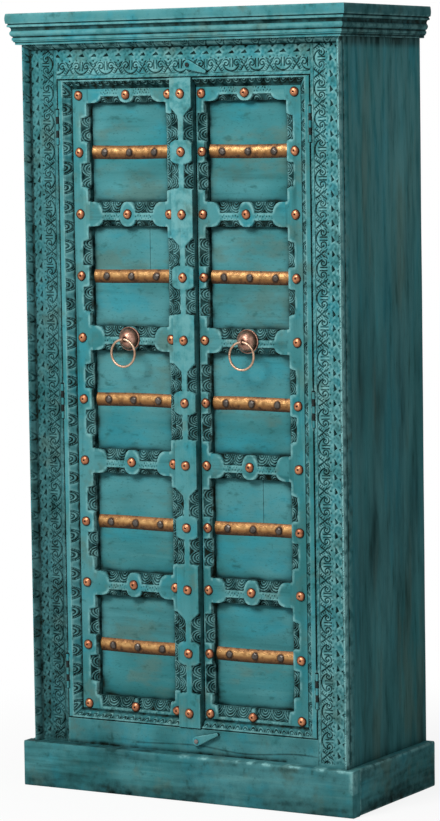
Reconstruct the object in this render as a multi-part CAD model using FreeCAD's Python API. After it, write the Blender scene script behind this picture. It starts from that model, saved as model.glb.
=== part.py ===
import FreeCAD, Part
import math
import os

# A tall carved and painted cabinet: a boarded carcase with a front frame, a cornice and a plinth,
# and two studded doors with recessed panels, brass strips and ring pulls.
# X runs across the front, Y from front to back and Z up. The origin is under the middle of the box.

# Carcase
overall_height = 1800.0
body_width = 827.0
body_depth = 397.0
side_thickness = 20.0
back_thickness = 12.0
back_board_count = 4
back_board_gap = 0.4
floor_thickness = 18.0
ceiling_thickness = 18.0
ceiling_rise = 18.0
cap_thickness = 18.0
shelf_thickness = 18.0
shelf_names = ("lower", "middle", "upper")
shelf_setback = 4.0
cleat_height = 22.0
cleat_width = 18.0

# Plinth
plinth_height = 105.0
plinth_side_overhang = 23.0
plinth_front_overhang = 15.0
plinth_back_thickness = 20.0
block_size = 45.0

# Cornice
cornice_height = 71.5
cornice_side_overhang = 29.0
cornice_front_overhang = 25.0
cornice_seat = 25.0

# Front frame and its raised border
frame_recess = 20.0
frame_thickness = 25.0
stile_width = 81.5
top_rail_height = 80.5
bottom_rail_show = 58.0
bottom_rail_tuck = 15.0
border_width = 14.0
border_crest = 4.0

# Doors
door_side_gap = 2.0
door_end_gap = 2.0
meeting_gap = 2.5
door_thickness = 43.0
lattice_recess = 16.0
panel_recess = 18.0
panel_thickness = 7.0
hinge_stile_width = 73.0
inner_bar_reach = 55.0
fillet_side_width = 13.0
fillet_end_width = 4.0
bevel_width = 18.0
astragal_width = 56.0
astragal_proud = 4.0
edge_relief = 5.0

# Rows of the door lattice
row_bottom_inset = 33.0
row_top_inset = 36.0
top_bay_shortfall = 13.0
bay_count = 5
cross_rail_half_height = 28.0
bottom_rail_reach = 20.0
top_rail_reach = 17.5

# Stop chamfers on the bars, with plain bosses left between them
bar_chamfer_width = 22.0
bar_chamfer_depth = 8.0
rail_chamfer_width = 16.0
rail_chamfer_depth = 9.0
astragal_chamfer_width = 22.0
astragal_chamfer_depth = 7.0
boss_beyond_rail = 24.0
mid_boss_half = 22.0
astragal_boss_half = 56.0
rail_end_boss = 32.0
rail_mid_boss_half = 20.0
chamfer_overrun_share = 0.25

# Studs, brass strips and their nails
outer_stud_inset = 47.0
inner_stud_reach = 44.0
stud_radius = 10.5
stud_rise = 7.0
stud_shank_radius = 2.0
stud_shank_length = 14.0
strip_height = 31.0
strip_rise = 6.0
strip_end_gap = 0.5
nail_radius = 8.0
nail_rise = 3.5
nail_shank_radius = 1.5
nail_shank_length = 9.0
nail_shares = (0.17, 0.5, 0.83)

# Ring pulls
rosette_radius = 27.5
rosette_rim = 2.0
rosette_rise = 24.0
rosette_top_radius = 6.0
rosette_belly_share = 0.82
eye_height = 29.0
eye_wire_radius = 1.8
eye_clearance = 0.6
ring_radius = 31.3
ring_wire_radius = 2.25

# Butt hinges
hinge_count = 3
hinge_height = 80.0
hinge_end_inset = 108.0
knuckle_count = 5
knuckle_radius = 3.4
knuckle_gap = 0.3
hinge_pin_radius = 1.5
hinge_pin_clearance = 0.05
hinge_pin_head_radius = 2.4
hinge_pin_head_height = 1.2
leaf_thickness = 1.5
leaf_width = 22.0
barrel_clearance = 0.4

# Turn buttons
button_thickness = 8.0
button_root_radius = 11.0
button_tip_radius = 4.0
button_air = 0.3
button_screw_radius = 2.5
button_screw_clearance = 0.05
button_screw_depth = 18.0
button_head_radius = 5.0
button_head_height = 2.2
top_button_length = 50.0
top_button_x = 23.0
top_button_rise = 26.0
top_button_angle = -20.0
bottom_button_length = 60.0
bottom_button_x = 20.0
bottom_button_drop = 27.0
bottom_button_angle = 20.0

# How far every cutting shape runs past what it cuts
overrun = 5.0

# Levels and planes worked out from the sizes above
total_depth = body_depth + cornice_front_overhang
front_y = cornice_front_overhang - total_depth / 2
back_y = front_y + body_depth
face_y = front_y + frame_recess
frame_back_y = face_y + frame_thickness
lattice_y = face_y + lattice_recess
panel_y = lattice_y + panel_recess
door_back_y = face_y + door_thickness
astragal_y = face_y - astragal_proud
half_width = body_width / 2
inner_half_width = half_width - side_thickness
opening_half = half_width - stile_width
body_top = overall_height - cornice_height
opening_top = body_top - top_rail_height
opening_bottom = plinth_height + bottom_rail_show
back_board_y = back_y - back_thickness
shelf_front_y = door_back_y + shelf_setback
door_bottom = opening_bottom + door_end_gap
door_top = opening_top - door_end_gap
door_edge = opening_half - door_side_gap
stile_inner_edge = door_edge - hinge_stile_width
astragal_half = astragal_width / 2
row_bottom = door_bottom + row_bottom_inset
row_top = door_top - row_top_inset
bay_pitch = (row_top - row_bottom + top_bay_shortfall) / bay_count
rows = [row_bottom + bay_pitch * i for i in range(bay_count)] + [row_top]
rail_lows = [row - cross_rail_half_height for row in rows[1:-1]]
rail_lows = [door_bottom] + rail_lows + [row_top - top_rail_reach]
rail_highs = [row + cross_rail_half_height for row in rows[1:-1]]
rail_highs = [row_bottom + bottom_rail_reach] + rail_highs + [door_top]
bay_mids = [(low + high) / 2 for low, high in zip(rail_highs, rail_lows[1:])]
panel_middle = (stile_inner_edge + inner_bar_reach) / 2
hinge_axis = opening_half - door_side_gap / 2
ring_row = rows[bay_count - 2]


def vector(x, y, z):
    return FreeCAD.Vector(x, y, z)


def block(x0, x1, y0, y1, z0, z1):
    """A box between two corners, given in any order."""
    low = vector(min(x0, x1), min(y0, y1), min(z0, z1))
    return Part.makeBox(abs(x1 - x0), abs(y1 - y0), abs(z1 - z0), low)


def face_of(points):
    """A flat face through the points in order."""
    return Part.Face(Part.makePolygon(points + points[:1]))


def upright(points, z0, z1):
    """An outline of (x, y) points carried up from z0 to z1."""
    flat = face_of([vector(x, y, z0) for x, y in points])
    return flat.extrude(vector(0, 0, z1 - z0))


def lengthwise(points, x0, x1):
    """An outline of (y, z) points carried across from x0 to x1."""
    flat = face_of([vector(x0, y, z) for y, z in points])
    return flat.extrude(vector(x1 - x0, 0, 0))


def through(points, y0, y1):
    """An outline of (x, z) points carried back from y0 to y1."""
    flat = face_of([vector(x, y0, z) for x, z in points])
    return flat.extrude(vector(0, y1 - y0, 0))


def rod(x, y, z0, z1, radius):
    """An upright round bar."""
    return Part.makeCylinder(radius, z1 - z0, vector(x, y, z0))


def peg(x, y0, y1, z, radius):
    """A round bar that runs from front to back."""
    return Part.makeCylinder(radius, y1 - y0, vector(x, y0, z), vector(0, 1, 0))


def chamfer_line(edge, face, width, depth):
    """The triangle that a chamfer takes off: its ends on the bar, carried past them, and a point outside."""
    run = (width * (1 + chamfer_overrun_share), depth * (1 + chamfer_overrun_share))
    spare = (width * chamfer_overrun_share, depth * chamfer_overrun_share)
    on_face = (edge + run[0], face - spare[1])
    on_side = (edge - spare[0], face + run[1])
    return [on_face, on_side, (edge - spare[0], face - spare[1])]


def stop_stretches(low, high, lead, bosses):
    """The stretches from low to high between plain leads at the ends and bosses, each (middle, half)."""
    stretches = []
    start = low + lead
    for middle, half in bosses:
        stretches.append((start, middle - half))
        start = middle + half
    stretches.append((start, high - lead))
    return stretches


def save(name, *shapes):
    """Writes one node, of one or more separate solids."""
    shape = shapes[0] if len(shapes) == 1 else Part.makeCompound(list(shapes))
    shape.exportStep("parts/" + name + ".step")


# Carcase boards
for side, sign in (("left", -1), ("right", 1)):
    board = block(sign * half_width, sign * inner_half_width, frame_back_y, back_y, 0, body_top)
    save(side + "_side_panel", board)

board_width = (2 * inner_half_width - back_board_gap * (back_board_count - 1)) / back_board_count
board_step = board_width + back_board_gap
back_boards = []
for i in range(back_board_count):
    left = -inner_half_width + i * board_step
    back_boards.append(block(left, left + board_width, back_board_y, back_y, plinth_height, body_top))
save("back_boards", *back_boards)


def level_board(front, under, thickness):
    """A board across the inside of the carcase, from its front edge to the back boards."""
    return block(-inner_half_width, inner_half_width, front, back_board_y, under, under + thickness)


floor_top = opening_bottom
ceiling_bottom = opening_top + ceiling_rise
save("bottom_board", level_board(frame_back_y, floor_top - floor_thickness, floor_thickness))
save("ceiling_board", level_board(frame_back_y, ceiling_bottom, ceiling_thickness))

shelf_count = len(shelf_names)
shelf_pitch = (ceiling_bottom - floor_top - shelf_count * shelf_thickness) / (shelf_count + 1)
cleats = []
for i in range(shelf_count):
    under = floor_top + (i + 1) * shelf_pitch + i * shelf_thickness
    save(shelf_names[i] + "_shelf", level_board(shelf_front_y, under, shelf_thickness))
    for sign in (-1, 1):
        inner = sign * (inner_half_width - cleat_width)
        cleats.append(
            block(sign * inner_half_width, inner, shelf_front_y, back_board_y, under - cleat_height, under)
        )
save("shelf_cleats", *cleats)

# Plinth: a front skirting across the whole width, two side skirtings behind it, and a back board
plinth_half = half_width + plinth_side_overhang
plinth_front_y = front_y - plinth_front_overhang
save("plinth_front", block(-plinth_half, plinth_half, plinth_front_y, face_y, 0, plinth_height))
for side, sign in (("left", -1), ("right", 1)):
    save("plinth_" + side, block(sign * plinth_half, sign * half_width, face_y, back_y, 0, plinth_height))
save(
    "plinth_back",
    block(-inner_half_width, inner_half_width, back_y - plinth_back_thickness, back_y, 0, plinth_height),
)
corner_blocks = []
block_top = floor_top - floor_thickness
for sign in (-1, 1):
    for y0 in (frame_back_y, back_y - plinth_back_thickness - block_size):
        inner = sign * (inner_half_width - block_size)
        corner_blocks.append(block(sign * inner_half_width, inner, y0, y0 + block_size, 0, block_top))
save("plinth_blocks", *corner_blocks)

# Cornice: its outline is in shares of the overhang, outwards, and of the cornice height, upwards
cornice_foot_shares = (
    (0.38, 0.00), (0.38, 0.075), (0.50, 0.09), (0.50, 0.125), (0.58, 0.14), (0.58, 0.21),
    (0.52, 0.225), (0.52, 0.255), (0.60, 0.27),
)
cornice_bulge_shares = ((0.72, 0.36), (0.62, 0.45))
cornice_cove_shares = ((0.66, 0.54), (0.87, 0.57))
cornice_neck_shares = ((0.87, 0.63), (0.81, 0.645), (0.81, 0.67), (0.95, 0.68))
cornice_nose_shares = ((1.0, 0.83), (0.95, 0.98))
cornice_crown_shares = (0.92, 1.0)


def cornice_face(overhang, inset, place):
    """The cornice outline as a face: place turns (outwards, height) into a point in space."""

    def at(share):
        return place(share[0] * overhang, body_top + share[1] * cornice_height)

    foot = [place(-inset, body_top)] + [at(share) for share in cornice_foot_shares]
    neck = [at(share) for share in cornice_cove_shares[1:] + cornice_neck_shares]
    crown = [at(cornice_nose_shares[1]), at(cornice_crown_shares), place(-inset, overall_height), foot[0]]
    edges = Part.makePolygon(foot).Edges
    bulge = [at(share) for share in cornice_bulge_shares]
    cove = [at(share) for share in cornice_cove_shares]
    edges.append(Part.Arc(foot[-1], *bulge).toShape())
    edges.append(Part.Arc(bulge[-1], *cove).toShape())
    edges += Part.makePolygon(neck).Edges
    edges.append(Part.Arc(neck[-1], *[at(share) for share in cornice_nose_shares]).toShape())
    edges += Part.makePolygon(crown).Edges
    return Part.Face(Part.Wire(edges))


seat_side = cornice_seat * cornice_side_overhang / cornice_front_overhang
corner_x = half_width + cornice_side_overhang
corner_y = front_y - cornice_front_overhang
seat_x = half_width - seat_side
seat_y = front_y + cornice_seat

front_plan = [(-corner_x, corner_y), (corner_x, corner_y), (seat_x, seat_y), (-seat_x, seat_y)]
run = cornice_face(cornice_front_overhang, cornice_seat, lambda out, z: vector(-corner_x, front_y - out, z))
front_run = run.extrude(vector(2 * corner_x, 0, 0))
save("cornice_front", front_run.common(upright(front_plan, body_top, overall_height)))
for side, sign in (("left", -1), ("right", 1)):
    run = cornice_face(
        cornice_side_overhang, seat_side, lambda out, z: vector(sign * (half_width + out), corner_y, z)
    )
    side_run = run.extrude(vector(0, back_y - corner_y, 0))
    side_plan = [(corner_x, corner_y), (corner_x, back_y), (seat_x, back_y), (seat_x, seat_y)]
    side_plan = [(sign * x, y) for x, y in side_plan]
    save("cornice_" + side, side_run.common(upright(side_plan, body_top, overall_height)))
cap_under = overall_height - cap_thickness
cap = block(-seat_x, seat_x, seat_y, back_y, cap_under, overall_height)
cap_back_rail = block(-seat_x, seat_x, back_board_y, back_y, body_top, cap_under)
save("cap_boards", cap, cap_back_rail)

# Front frame: stiles to the floor, a top rail and a bottom rail between them, cut away round the hinges
hinge_low = door_bottom + hinge_end_inset
hinge_high = door_top - hinge_end_inset
hinge_step = (hinge_high - hinge_low) / (hinge_count - 1)
hinge_middles = [hinge_low + hinge_step * i for i in range(hinge_count)]


def hinge_pockets(sign, edge, inwards):
    """What a row of hinges takes out of the wood: a groove for each barrel and a housing for each leaf."""
    cuts = []
    for middle in hinge_middles:
        low = middle - hinge_height / 2
        high = middle + hinge_height / 2
        groove = rod(
            sign * hinge_axis, face_y, low - barrel_clearance - hinge_pin_head_height,
            high + barrel_clearance + hinge_pin_head_height, knuckle_radius + barrel_clearance,
        )
        housing = block(
            sign * edge, sign * (edge + inwards * leaf_thickness), face_y, face_y + leaf_width, low, high
        )
        cuts += [groove, housing]
    return cuts


for side, sign in (("left", -1), ("right", 1)):
    stile = block(sign * half_width, sign * opening_half, face_y, frame_back_y, 0, body_top)
    save(side + "_frame_stile", stile.cut(hinge_pockets(sign, opening_half, 1)))
save("top_frame_rail", block(-opening_half, opening_half, face_y, frame_back_y, opening_top, body_top))
save(
    "bottom_frame_rail",
    block(
        -opening_half, opening_half, face_y, frame_back_y, plinth_height - bottom_rail_tuck, opening_bottom
    ),
)

# Raised border: a crest along the outer edge and a bevel down to the frame, mitred at the top corners
border_inner = half_width - border_width
border_under = body_top - border_width
for side, sign in (("left", -1), ("right", 1)):
    outline = [
        (half_width, front_y), (half_width - border_crest, front_y), (border_inner, face_y),
        (half_width, face_y),
    ]
    plan = [
        (half_width, plinth_height), (half_width, body_top), (border_inner, border_under),
        (border_inner, plinth_height),
    ]
    strip = upright([(sign * x, y) for x, y in outline], plinth_height, body_top)
    strip = strip.common(through([(sign * x, z) for x, z in plan], front_y, face_y))
    save(side + "_border", strip)
outline = [
    (front_y, body_top), (front_y, body_top - border_crest), (face_y, border_under), (face_y, body_top),
]
plan = [
    (-half_width, body_top), (half_width, body_top), (border_inner, border_under),
    (-border_inner, border_under),
]
save("top_border", lengthwise(outline, -half_width, half_width).common(through(plan, front_y, face_y)))

# Butt hinges: the frame leaf has the odd knuckles, the door leaf the even ones, and the pin is the frame's
knuckle_pitch = hinge_height / knuckle_count


def hinge_leaf(sign, middle, edge, inwards, first):
    """One leaf: a plate in its housing and every second knuckle, clear of the other leaf's knuckles."""
    low = middle - hinge_height / 2
    x = sign * hinge_axis
    plate = block(
        sign * edge, sign * (edge + inwards * leaf_thickness), face_y, face_y + leaf_width,
        low + knuckle_gap, low + hinge_height - knuckle_gap,
    )
    knuckles = []
    for i in range(knuckle_count):
        start = low + i * knuckle_pitch
        if i % 2 == first:
            knuckles.append(
                rod(x, face_y, start + knuckle_gap, start + knuckle_pitch - knuckle_gap, knuckle_radius)
            )
        else:
            clear = rod(x, face_y, start, start + knuckle_pitch, knuckle_radius + knuckle_gap)
            plate = plate.cut(clear)
    leaf = plate.fuse(knuckles).removeSplitter()
    bore = rod(x, face_y, low - overrun, low + hinge_height + overrun, hinge_pin_radius + hinge_pin_clearance)
    return leaf.cut(bore)


def hinge_pin(sign, middle):
    """A headed pin whose head sits on the top knuckle."""
    x = sign * hinge_axis
    low = middle - hinge_height / 2 + knuckle_gap
    high = middle + hinge_height / 2 - knuckle_gap
    head = rod(x, face_y, high, high + hinge_pin_head_height, hinge_pin_head_radius)
    return rod(x, face_y, low, high, hinge_pin_radius).fuse(head).removeSplitter()


for side, sign in (("left", -1), ("right", 1)):
    save(side + "_hinge_frame_leaves", *[hinge_leaf(sign, z, opening_half, 1, 0) for z in hinge_middles])
    save(side + "_hinge_door_leaves", *[hinge_leaf(sign, z, door_edge, -1, 1) for z in hinge_middles])
    save(side + "_hinge_pins", *[hinge_pin(sign, z) for z in hinge_middles])


# Door nails: a domed head on a shank, turned about the line it is driven along
def domed_nail(radius, rise, shank_radius, shank_length):
    """A domed head whose flat underside is at the origin, with its shank running back along Y."""
    crown = vector(0, -rise, 0)
    ball_radius = (radius * radius + rise * rise) / (2 * rise)
    lean = math.asin(radius / ball_radius) / 2
    shoulder = vector(ball_radius * math.sin(lean), ball_radius - rise - ball_radius * math.cos(lean), 0)
    rim = vector(radius, 0, 0)
    edges = [Part.Arc(crown, shoulder, rim).toShape()]
    neck = vector(shank_radius, 0, 0)
    foot = vector(shank_radius, shank_length, 0)
    edges += Part.makePolygon([rim, neck, foot, vector(0, shank_length, 0), crown]).Edges
    return Part.Face(Part.Wire(edges)).revolve(vector(0, 0, 0), vector(0, 1, 0), 360)


stud = domed_nail(stud_radius, stud_rise, stud_shank_radius, stud_shank_length)
strip_nail = domed_nail(nail_radius, nail_rise, nail_shank_radius, nail_shank_length)


def placed(shape, x, y, z):
    copy = shape.copy()
    copy.translate(vector(x, y, z))
    return copy


def rosette(x, z):
    """A turned rosette on the lattice face, with a flat rim, a rounded cone and an eye for the ring."""
    rim = vector(rosette_radius, 0, 0)
    shoulder = vector(rosette_radius, -rosette_rim, 0)
    belly = vector(rosette_radius * rosette_belly_share, -rosette_rise / 2, 0)
    crown = vector(rosette_top_radius, -rosette_rise, 0)
    edges = [Part.makeLine(vector(0, 0, 0), rim), Part.makeLine(rim, shoulder)]
    edges.append(Part.Arc(shoulder, belly, crown).toShape())
    edges += Part.makePolygon([crown, vector(0, -rosette_rise, 0), vector(0, 0, 0)]).Edges
    cone = Part.Face(Part.Wire(edges)).revolve(vector(0, 0, 0), vector(0, 1, 0), 360)
    eye_radius = ring_wire_radius + eye_clearance + eye_wire_radius
    eye = Part.makeTorus(eye_radius, eye_wire_radius, vector(0, -eye_height, 0), vector(1, 0, 0))
    return placed(cone.fuse(eye).removeSplitter(), x, lattice_y, z)


def ring(x, z):
    """A wire ring that hangs from the eye."""
    centre = vector(x, lattice_y - eye_height, z - ring_radius)
    return Part.makeTorus(ring_radius, ring_wire_radius, centre, vector(0, 1, 0))


def brass_strip(sign, middle):
    """A strip with a rounded face, nailed across the middle of a panel."""
    x0 = sign * (inner_bar_reach + strip_end_gap)
    x1 = sign * (stile_inner_edge - strip_end_gap)
    low = vector(x0, panel_y, middle - strip_height / 2)
    high = vector(x0, panel_y, middle + strip_height / 2)
    crest = vector(x0, panel_y - strip_rise, middle)
    edges = [Part.Arc(low, crest, high).toShape(), Part.makeLine(high, low)]
    return Part.Face(Part.Wire(edges)).extrude(vector(x1 - x0, 0, 0))


def bar_chamfers(sign, edge, into, face, width, depth, stretches):
    """Stop chamfers along an upright bar, at the edge given, on the side that lies away from into."""
    cuts = []
    for low, high in stretches:
        points = [(sign * (edge + into * (u - edge)), y) for u, y in chamfer_line(edge, face, width, depth)]
        cuts.append(upright(points, low, high))
    return cuts


def rail_chamfers(sign, level, into, stretches):
    """Stop chamfers along a cross rail, at the level given, on the side that lies away from into."""
    cuts = []
    for near, far in stretches:
        line = chamfer_line(level, lattice_y, rail_chamfer_width, rail_chamfer_depth)
        points = [(y, level + into * (v - level)) for v, y in line]
        cuts.append(lengthwise(points, sign * near, sign * far))
    return cuts


# Where the bars are chamfered: the left meeting stile has no bosses between the rails
bay_stretches = []
plain_stretches = []
astragal_stretches = []
for i in range(bay_count):
    boss = [(bay_mids[i], mid_boss_half)]
    bay_stretches += stop_stretches(rail_highs[i], rail_lows[i + 1], boss_beyond_rail, boss)
    plain_stretches += stop_stretches(rail_highs[i], rail_lows[i + 1], boss_beyond_rail, [])
    astragal_stretches += stop_stretches(rows[i], rows[i + 1], astragal_boss_half, boss)
rail_stretches = stop_stretches(
    inner_bar_reach, stile_inner_edge, rail_end_boss, [(panel_middle, rail_mid_boss_half)]
)


def door(side, sign, meeting_edge, moulding_end, meeting_stretches):
    """One door leaf. meeting_edge is where it meets the other leaf, outwards from the cabinet's middle."""
    # Stiles: the hinge stile is cut for its hinges, and the meeting stile is eased at the back to swing
    stile = block(sign * door_edge, sign * stile_inner_edge, lattice_y, door_back_y, door_bottom, door_top)
    cuts = bar_chamfers(
        sign, stile_inner_edge, 1, lattice_y, bar_chamfer_width, bar_chamfer_depth, bay_stretches
    )
    save(side + "_door_hinge_stile", stile.cut(cuts + hinge_pockets(sign, door_edge, -1)))
    outline = [
        (sign * inner_bar_reach, lattice_y), (sign * meeting_edge, lattice_y),
        (sign * (meeting_edge + edge_relief), door_back_y), (sign * inner_bar_reach, door_back_y),
    ]
    cuts = bar_chamfers(
        sign, inner_bar_reach, -1, lattice_y, bar_chamfer_width, bar_chamfer_depth, meeting_stretches
    )
    save(side + "_door_meeting_stile", upright(outline, door_bottom, door_top).cut(cuts))

    # Rails between the stiles
    rails = []
    for i in range(bay_count + 1):
        rail = block(
            sign * inner_bar_reach, sign * stile_inner_edge, lattice_y, door_back_y,
            rail_lows[i], rail_highs[i],
        )
        cuts = []
        if i > 0:
            cuts += rail_chamfers(sign, rail_lows[i], 1, rail_stretches)
        if i < bay_count:
            cuts += rail_chamfers(sign, rail_highs[i], -1, rail_stretches)
        rails.append(rail.cut(cuts))
    save(side + "_door_bottom_rail", rails[0])
    save(side + "_door_cross_rails", *rails[1:-1])
    save(side + "_door_top_rail", rails[-1])

    # Panels and the brass strips across them
    panels = []
    strips = []
    nails = []
    panel_span = stile_inner_edge - inner_bar_reach
    for i in range(bay_count):
        panels.append(
            block(
                sign * inner_bar_reach, sign * stile_inner_edge, panel_y, panel_y + panel_thickness,
                rail_highs[i], rail_lows[i + 1],
            )
        )
        strips.append(brass_strip(sign, bay_mids[i]))
        for share in nail_shares:
            x = sign * (inner_bar_reach + share * panel_span)
            nails.append(placed(strip_nail, x, panel_y - strip_rise, bay_mids[i]))
    save(side + "_door_panels", *panels)
    save(side + "_door_brass_strips", *strips)
    save(side + "_door_strip_nails", *nails)

    # Planted border: a flat fillet at the edge and a bevel down to the lattice, mitred at the hinge corners
    fillet_u = door_edge - fillet_side_width
    bevel_u = fillet_u - bevel_width
    lengths = []
    outline = [
        (sign * door_edge, face_y), (sign * fillet_u, face_y), (sign * bevel_u, lattice_y),
        (sign * door_edge, lattice_y),
    ]
    for end, way in ((door_bottom, 1), (door_top, -1)):
        fillet_z = end + way * fillet_end_width
        bevel_z = fillet_z + way * bevel_width
        section = [(face_y, end), (face_y, fillet_z), (lattice_y, bevel_z), (lattice_y, end)]
        plan = [
            (sign * moulding_end, end), (sign * door_edge, end), (sign * fillet_u, fillet_z),
            (sign * bevel_u, bevel_z), (sign * moulding_end, bevel_z),
        ]
        moulding = lengthwise(section, sign * moulding_end, sign * door_edge)
        lengths.append(moulding.common(through(plan, face_y, lattice_y)))
    plan = [(sign * door_edge, door_bottom), (sign * door_edge, door_top)]
    plan += [(sign * fillet_u, door_top - fillet_end_width)]
    plan += [(sign * bevel_u, door_top - fillet_end_width - bevel_width)]
    plan += [(sign * bevel_u, door_bottom + fillet_end_width + bevel_width)]
    plan += [(sign * fillet_u, door_bottom + fillet_end_width)]
    upright_length = upright(outline, door_bottom, door_top).common(through(plan, face_y, lattice_y))
    lengths.append(upright_length.cut(hinge_pockets(sign, door_edge, -1)))
    save(side + "_door_border", *lengths)

    # Ring pull on the cross rail above the middle of the door
    save(side + "_rosette", rosette(sign * panel_middle, ring_row))
    save(side + "_ring", ring(sign * panel_middle, ring_row))


def bar_studs(sign, reach, face, levels):
    """Studs in a row up a bar."""
    return [placed(stud, sign * reach, face, z) for z in levels]


outer_stud_reach = door_edge - outer_stud_inset
middle_levels = [z for z in rows if z != ring_row]
studs = {}
for side, sign in (("left", -1), ("right", 1)):
    studs[side] = bar_studs(sign, outer_stud_reach, lattice_y, rows + bay_mids)
    studs[side] += bar_studs(sign, panel_middle, lattice_y, middle_levels)
    studs[side] += bar_studs(sign, inner_stud_reach, lattice_y, rows)
studs["left"] += bar_studs(1, 0, astragal_y, rows + bay_mids)
studs["right"] += bar_studs(1, inner_stud_reach, lattice_y, bay_mids)
save("left_door_studs", *studs["left"])
save("right_door_studs", *studs["right"])

# The left leaf runs on behind the whole astragal, and the right leaf starts past it
door("left", -1, -astragal_half, astragal_half, plain_stretches)
door("right", 1, astragal_half + meeting_gap, astragal_half + meeting_gap, bay_stretches)

# Astragal: the batten over the meeting of the doors, with stop chamfers along both edges
batten = block(-astragal_half, astragal_half, astragal_y, lattice_y, door_bottom, door_top)
batten_cuts = []
for sign in (-1, 1):
    batten_cuts += bar_chamfers(
        sign, astragal_half, -1, astragal_y, astragal_chamfer_width, astragal_chamfer_depth,
        astragal_stretches,
    )
save("astragal", batten.cut(batten_cuts))


# Turn buttons: a tapered wooden button on a screw, parked clear of the doors
def turn_button(name, rail_y, x, z, length, angle):
    """The button's outline is two circles and their common tangents, turned to its angle about the screw."""
    reach = length - button_tip_radius
    slope = math.acos((button_root_radius - button_tip_radius) / reach)
    turn = math.radians(angle)

    def at(along, across):
        return vector(
            x + along * math.cos(turn) - across * math.sin(turn),
            rail_y - button_air - button_thickness,
            z + along * math.sin(turn) + across * math.cos(turn),
        )

    def tangent(centre, radius, way):
        return at(centre + radius * math.cos(slope), way * radius * math.sin(slope))

    root_up = tangent(0, button_root_radius, 1)
    root_down = tangent(0, button_root_radius, -1)
    tip_up = tangent(reach, button_tip_radius, 1)
    tip_down = tangent(reach, button_tip_radius, -1)
    edges = [
        Part.makeLine(root_up, tip_up),
        Part.Arc(tip_up, at(length, 0), tip_down).toShape(),
        Part.makeLine(tip_down, root_down),
        Part.Arc(root_down, at(-button_root_radius, 0), root_up).toShape(),
    ]
    body = Part.Face(Part.Wire(edges)).extrude(vector(0, button_thickness, 0))
    button_y = rail_y - button_air - button_thickness
    hole = peg(x, button_y - overrun, rail_y + overrun, z, button_screw_radius + button_screw_clearance)
    save(name + "_turn_button", body.cut(hole))
    head_y = button_y - button_air
    head = peg(x, head_y - button_head_height, head_y, z, button_head_radius)
    shank = peg(x, head_y, rail_y + button_screw_depth, z, button_screw_radius)
    save(name + "_button_screw", head.fuse(shank).removeSplitter())


turn_button(
    "top", face_y, top_button_x, opening_top + top_button_rise, top_button_length, top_button_angle
)
turn_button(
    "bottom", face_y, bottom_button_x, opening_bottom - bottom_button_drop, bottom_button_length,
    bottom_button_angle,
)
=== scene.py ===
import math
import bpy
import numpy as np
from mathutils import Matrix, Vector


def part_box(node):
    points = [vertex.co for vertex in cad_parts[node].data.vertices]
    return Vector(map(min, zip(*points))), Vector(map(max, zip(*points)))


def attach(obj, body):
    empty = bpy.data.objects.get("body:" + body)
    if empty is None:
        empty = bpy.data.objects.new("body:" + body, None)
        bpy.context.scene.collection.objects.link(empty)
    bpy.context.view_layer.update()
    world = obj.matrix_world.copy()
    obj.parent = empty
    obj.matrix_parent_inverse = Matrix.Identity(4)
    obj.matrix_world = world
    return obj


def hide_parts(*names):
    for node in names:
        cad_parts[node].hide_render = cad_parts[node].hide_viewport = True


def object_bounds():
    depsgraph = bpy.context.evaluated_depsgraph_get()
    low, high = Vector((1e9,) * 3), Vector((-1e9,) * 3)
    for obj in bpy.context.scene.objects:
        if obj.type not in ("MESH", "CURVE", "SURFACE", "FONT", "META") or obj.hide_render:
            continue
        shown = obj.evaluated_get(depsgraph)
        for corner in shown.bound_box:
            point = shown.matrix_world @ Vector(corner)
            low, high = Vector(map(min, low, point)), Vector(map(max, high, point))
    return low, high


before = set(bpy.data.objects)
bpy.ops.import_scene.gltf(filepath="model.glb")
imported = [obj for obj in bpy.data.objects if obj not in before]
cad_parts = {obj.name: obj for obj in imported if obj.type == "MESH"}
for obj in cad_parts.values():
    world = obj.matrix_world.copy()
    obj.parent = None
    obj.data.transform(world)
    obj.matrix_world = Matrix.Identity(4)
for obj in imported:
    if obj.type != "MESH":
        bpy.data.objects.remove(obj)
cad_low, cad_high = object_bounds()


# Inside boards: the back, the floor, the ceiling, three shelves and the blocks that hold them.
# They are planed planks of a brown hardwood, left bare, housed and nailed between the side panels.
def feed(tree, node, values):
    """Gives a node's inputs, by name or number, a constant or the socket that feeds each."""
    for key, value in values.items():
        if isinstance(value, bpy.types.NodeSocket):
            tree.links.new(value, node.inputs[key])
        else:
            node.inputs[key].default_value = value


def shader(tree, kind, values=None, **settings):
    """A new shader node with its settings and its inputs."""
    node = tree.nodes.new("ShaderNode" + kind)
    for name, value in settings.items():
        setattr(node, name, value)
    feed(tree, node, values or {})
    return node


def noise(tree, vector, scale, detail=2.0, roughness=0.5):
    """Cloudy noise from 0 to 1, with about scale clouds to the metre."""
    values = {"Vector": vector, "Scale": scale, "Detail": detail, "Roughness": roughness}
    return shader(tree, "TexNoise", values).outputs[0]


def ramp(tree, value, low, high, start=0.0, end=1.0):
    """Carries value from low..high to start..end along a smooth step."""
    values = {"Value": value, "From Min": low, "From Max": high, "To Min": start, "To Max": end}
    return shader(tree, "MapRange", values, interpolation_type="SMOOTHSTEP").outputs[0]


def maths(tree, operation, first, second):
    """One sum on two values."""
    return shader(tree, "Math", {0: first, 1: second}, operation=operation).outputs[0]


def mixed(tree, share, first, second):
    """The first colour with a share of the second over it."""
    return shader(tree, "Mix", {0: share, 6: first, 7: second}, data_type="RGBA").outputs[2]


def srgb(red, green, blue):
    """A screen colour, each part from 0 to 255, as the linear light that a shader takes.

    That is a plain share of the part near black, and about its power of 2.4 above.
    """
    level = np.array((red, green, blue)) / 255
    linear = np.where(level <= 0.04045, level / 12.92, ((level + 0.055) / 1.055) ** 2.4)
    return (*linear.tolist(), 1.0)


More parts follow.
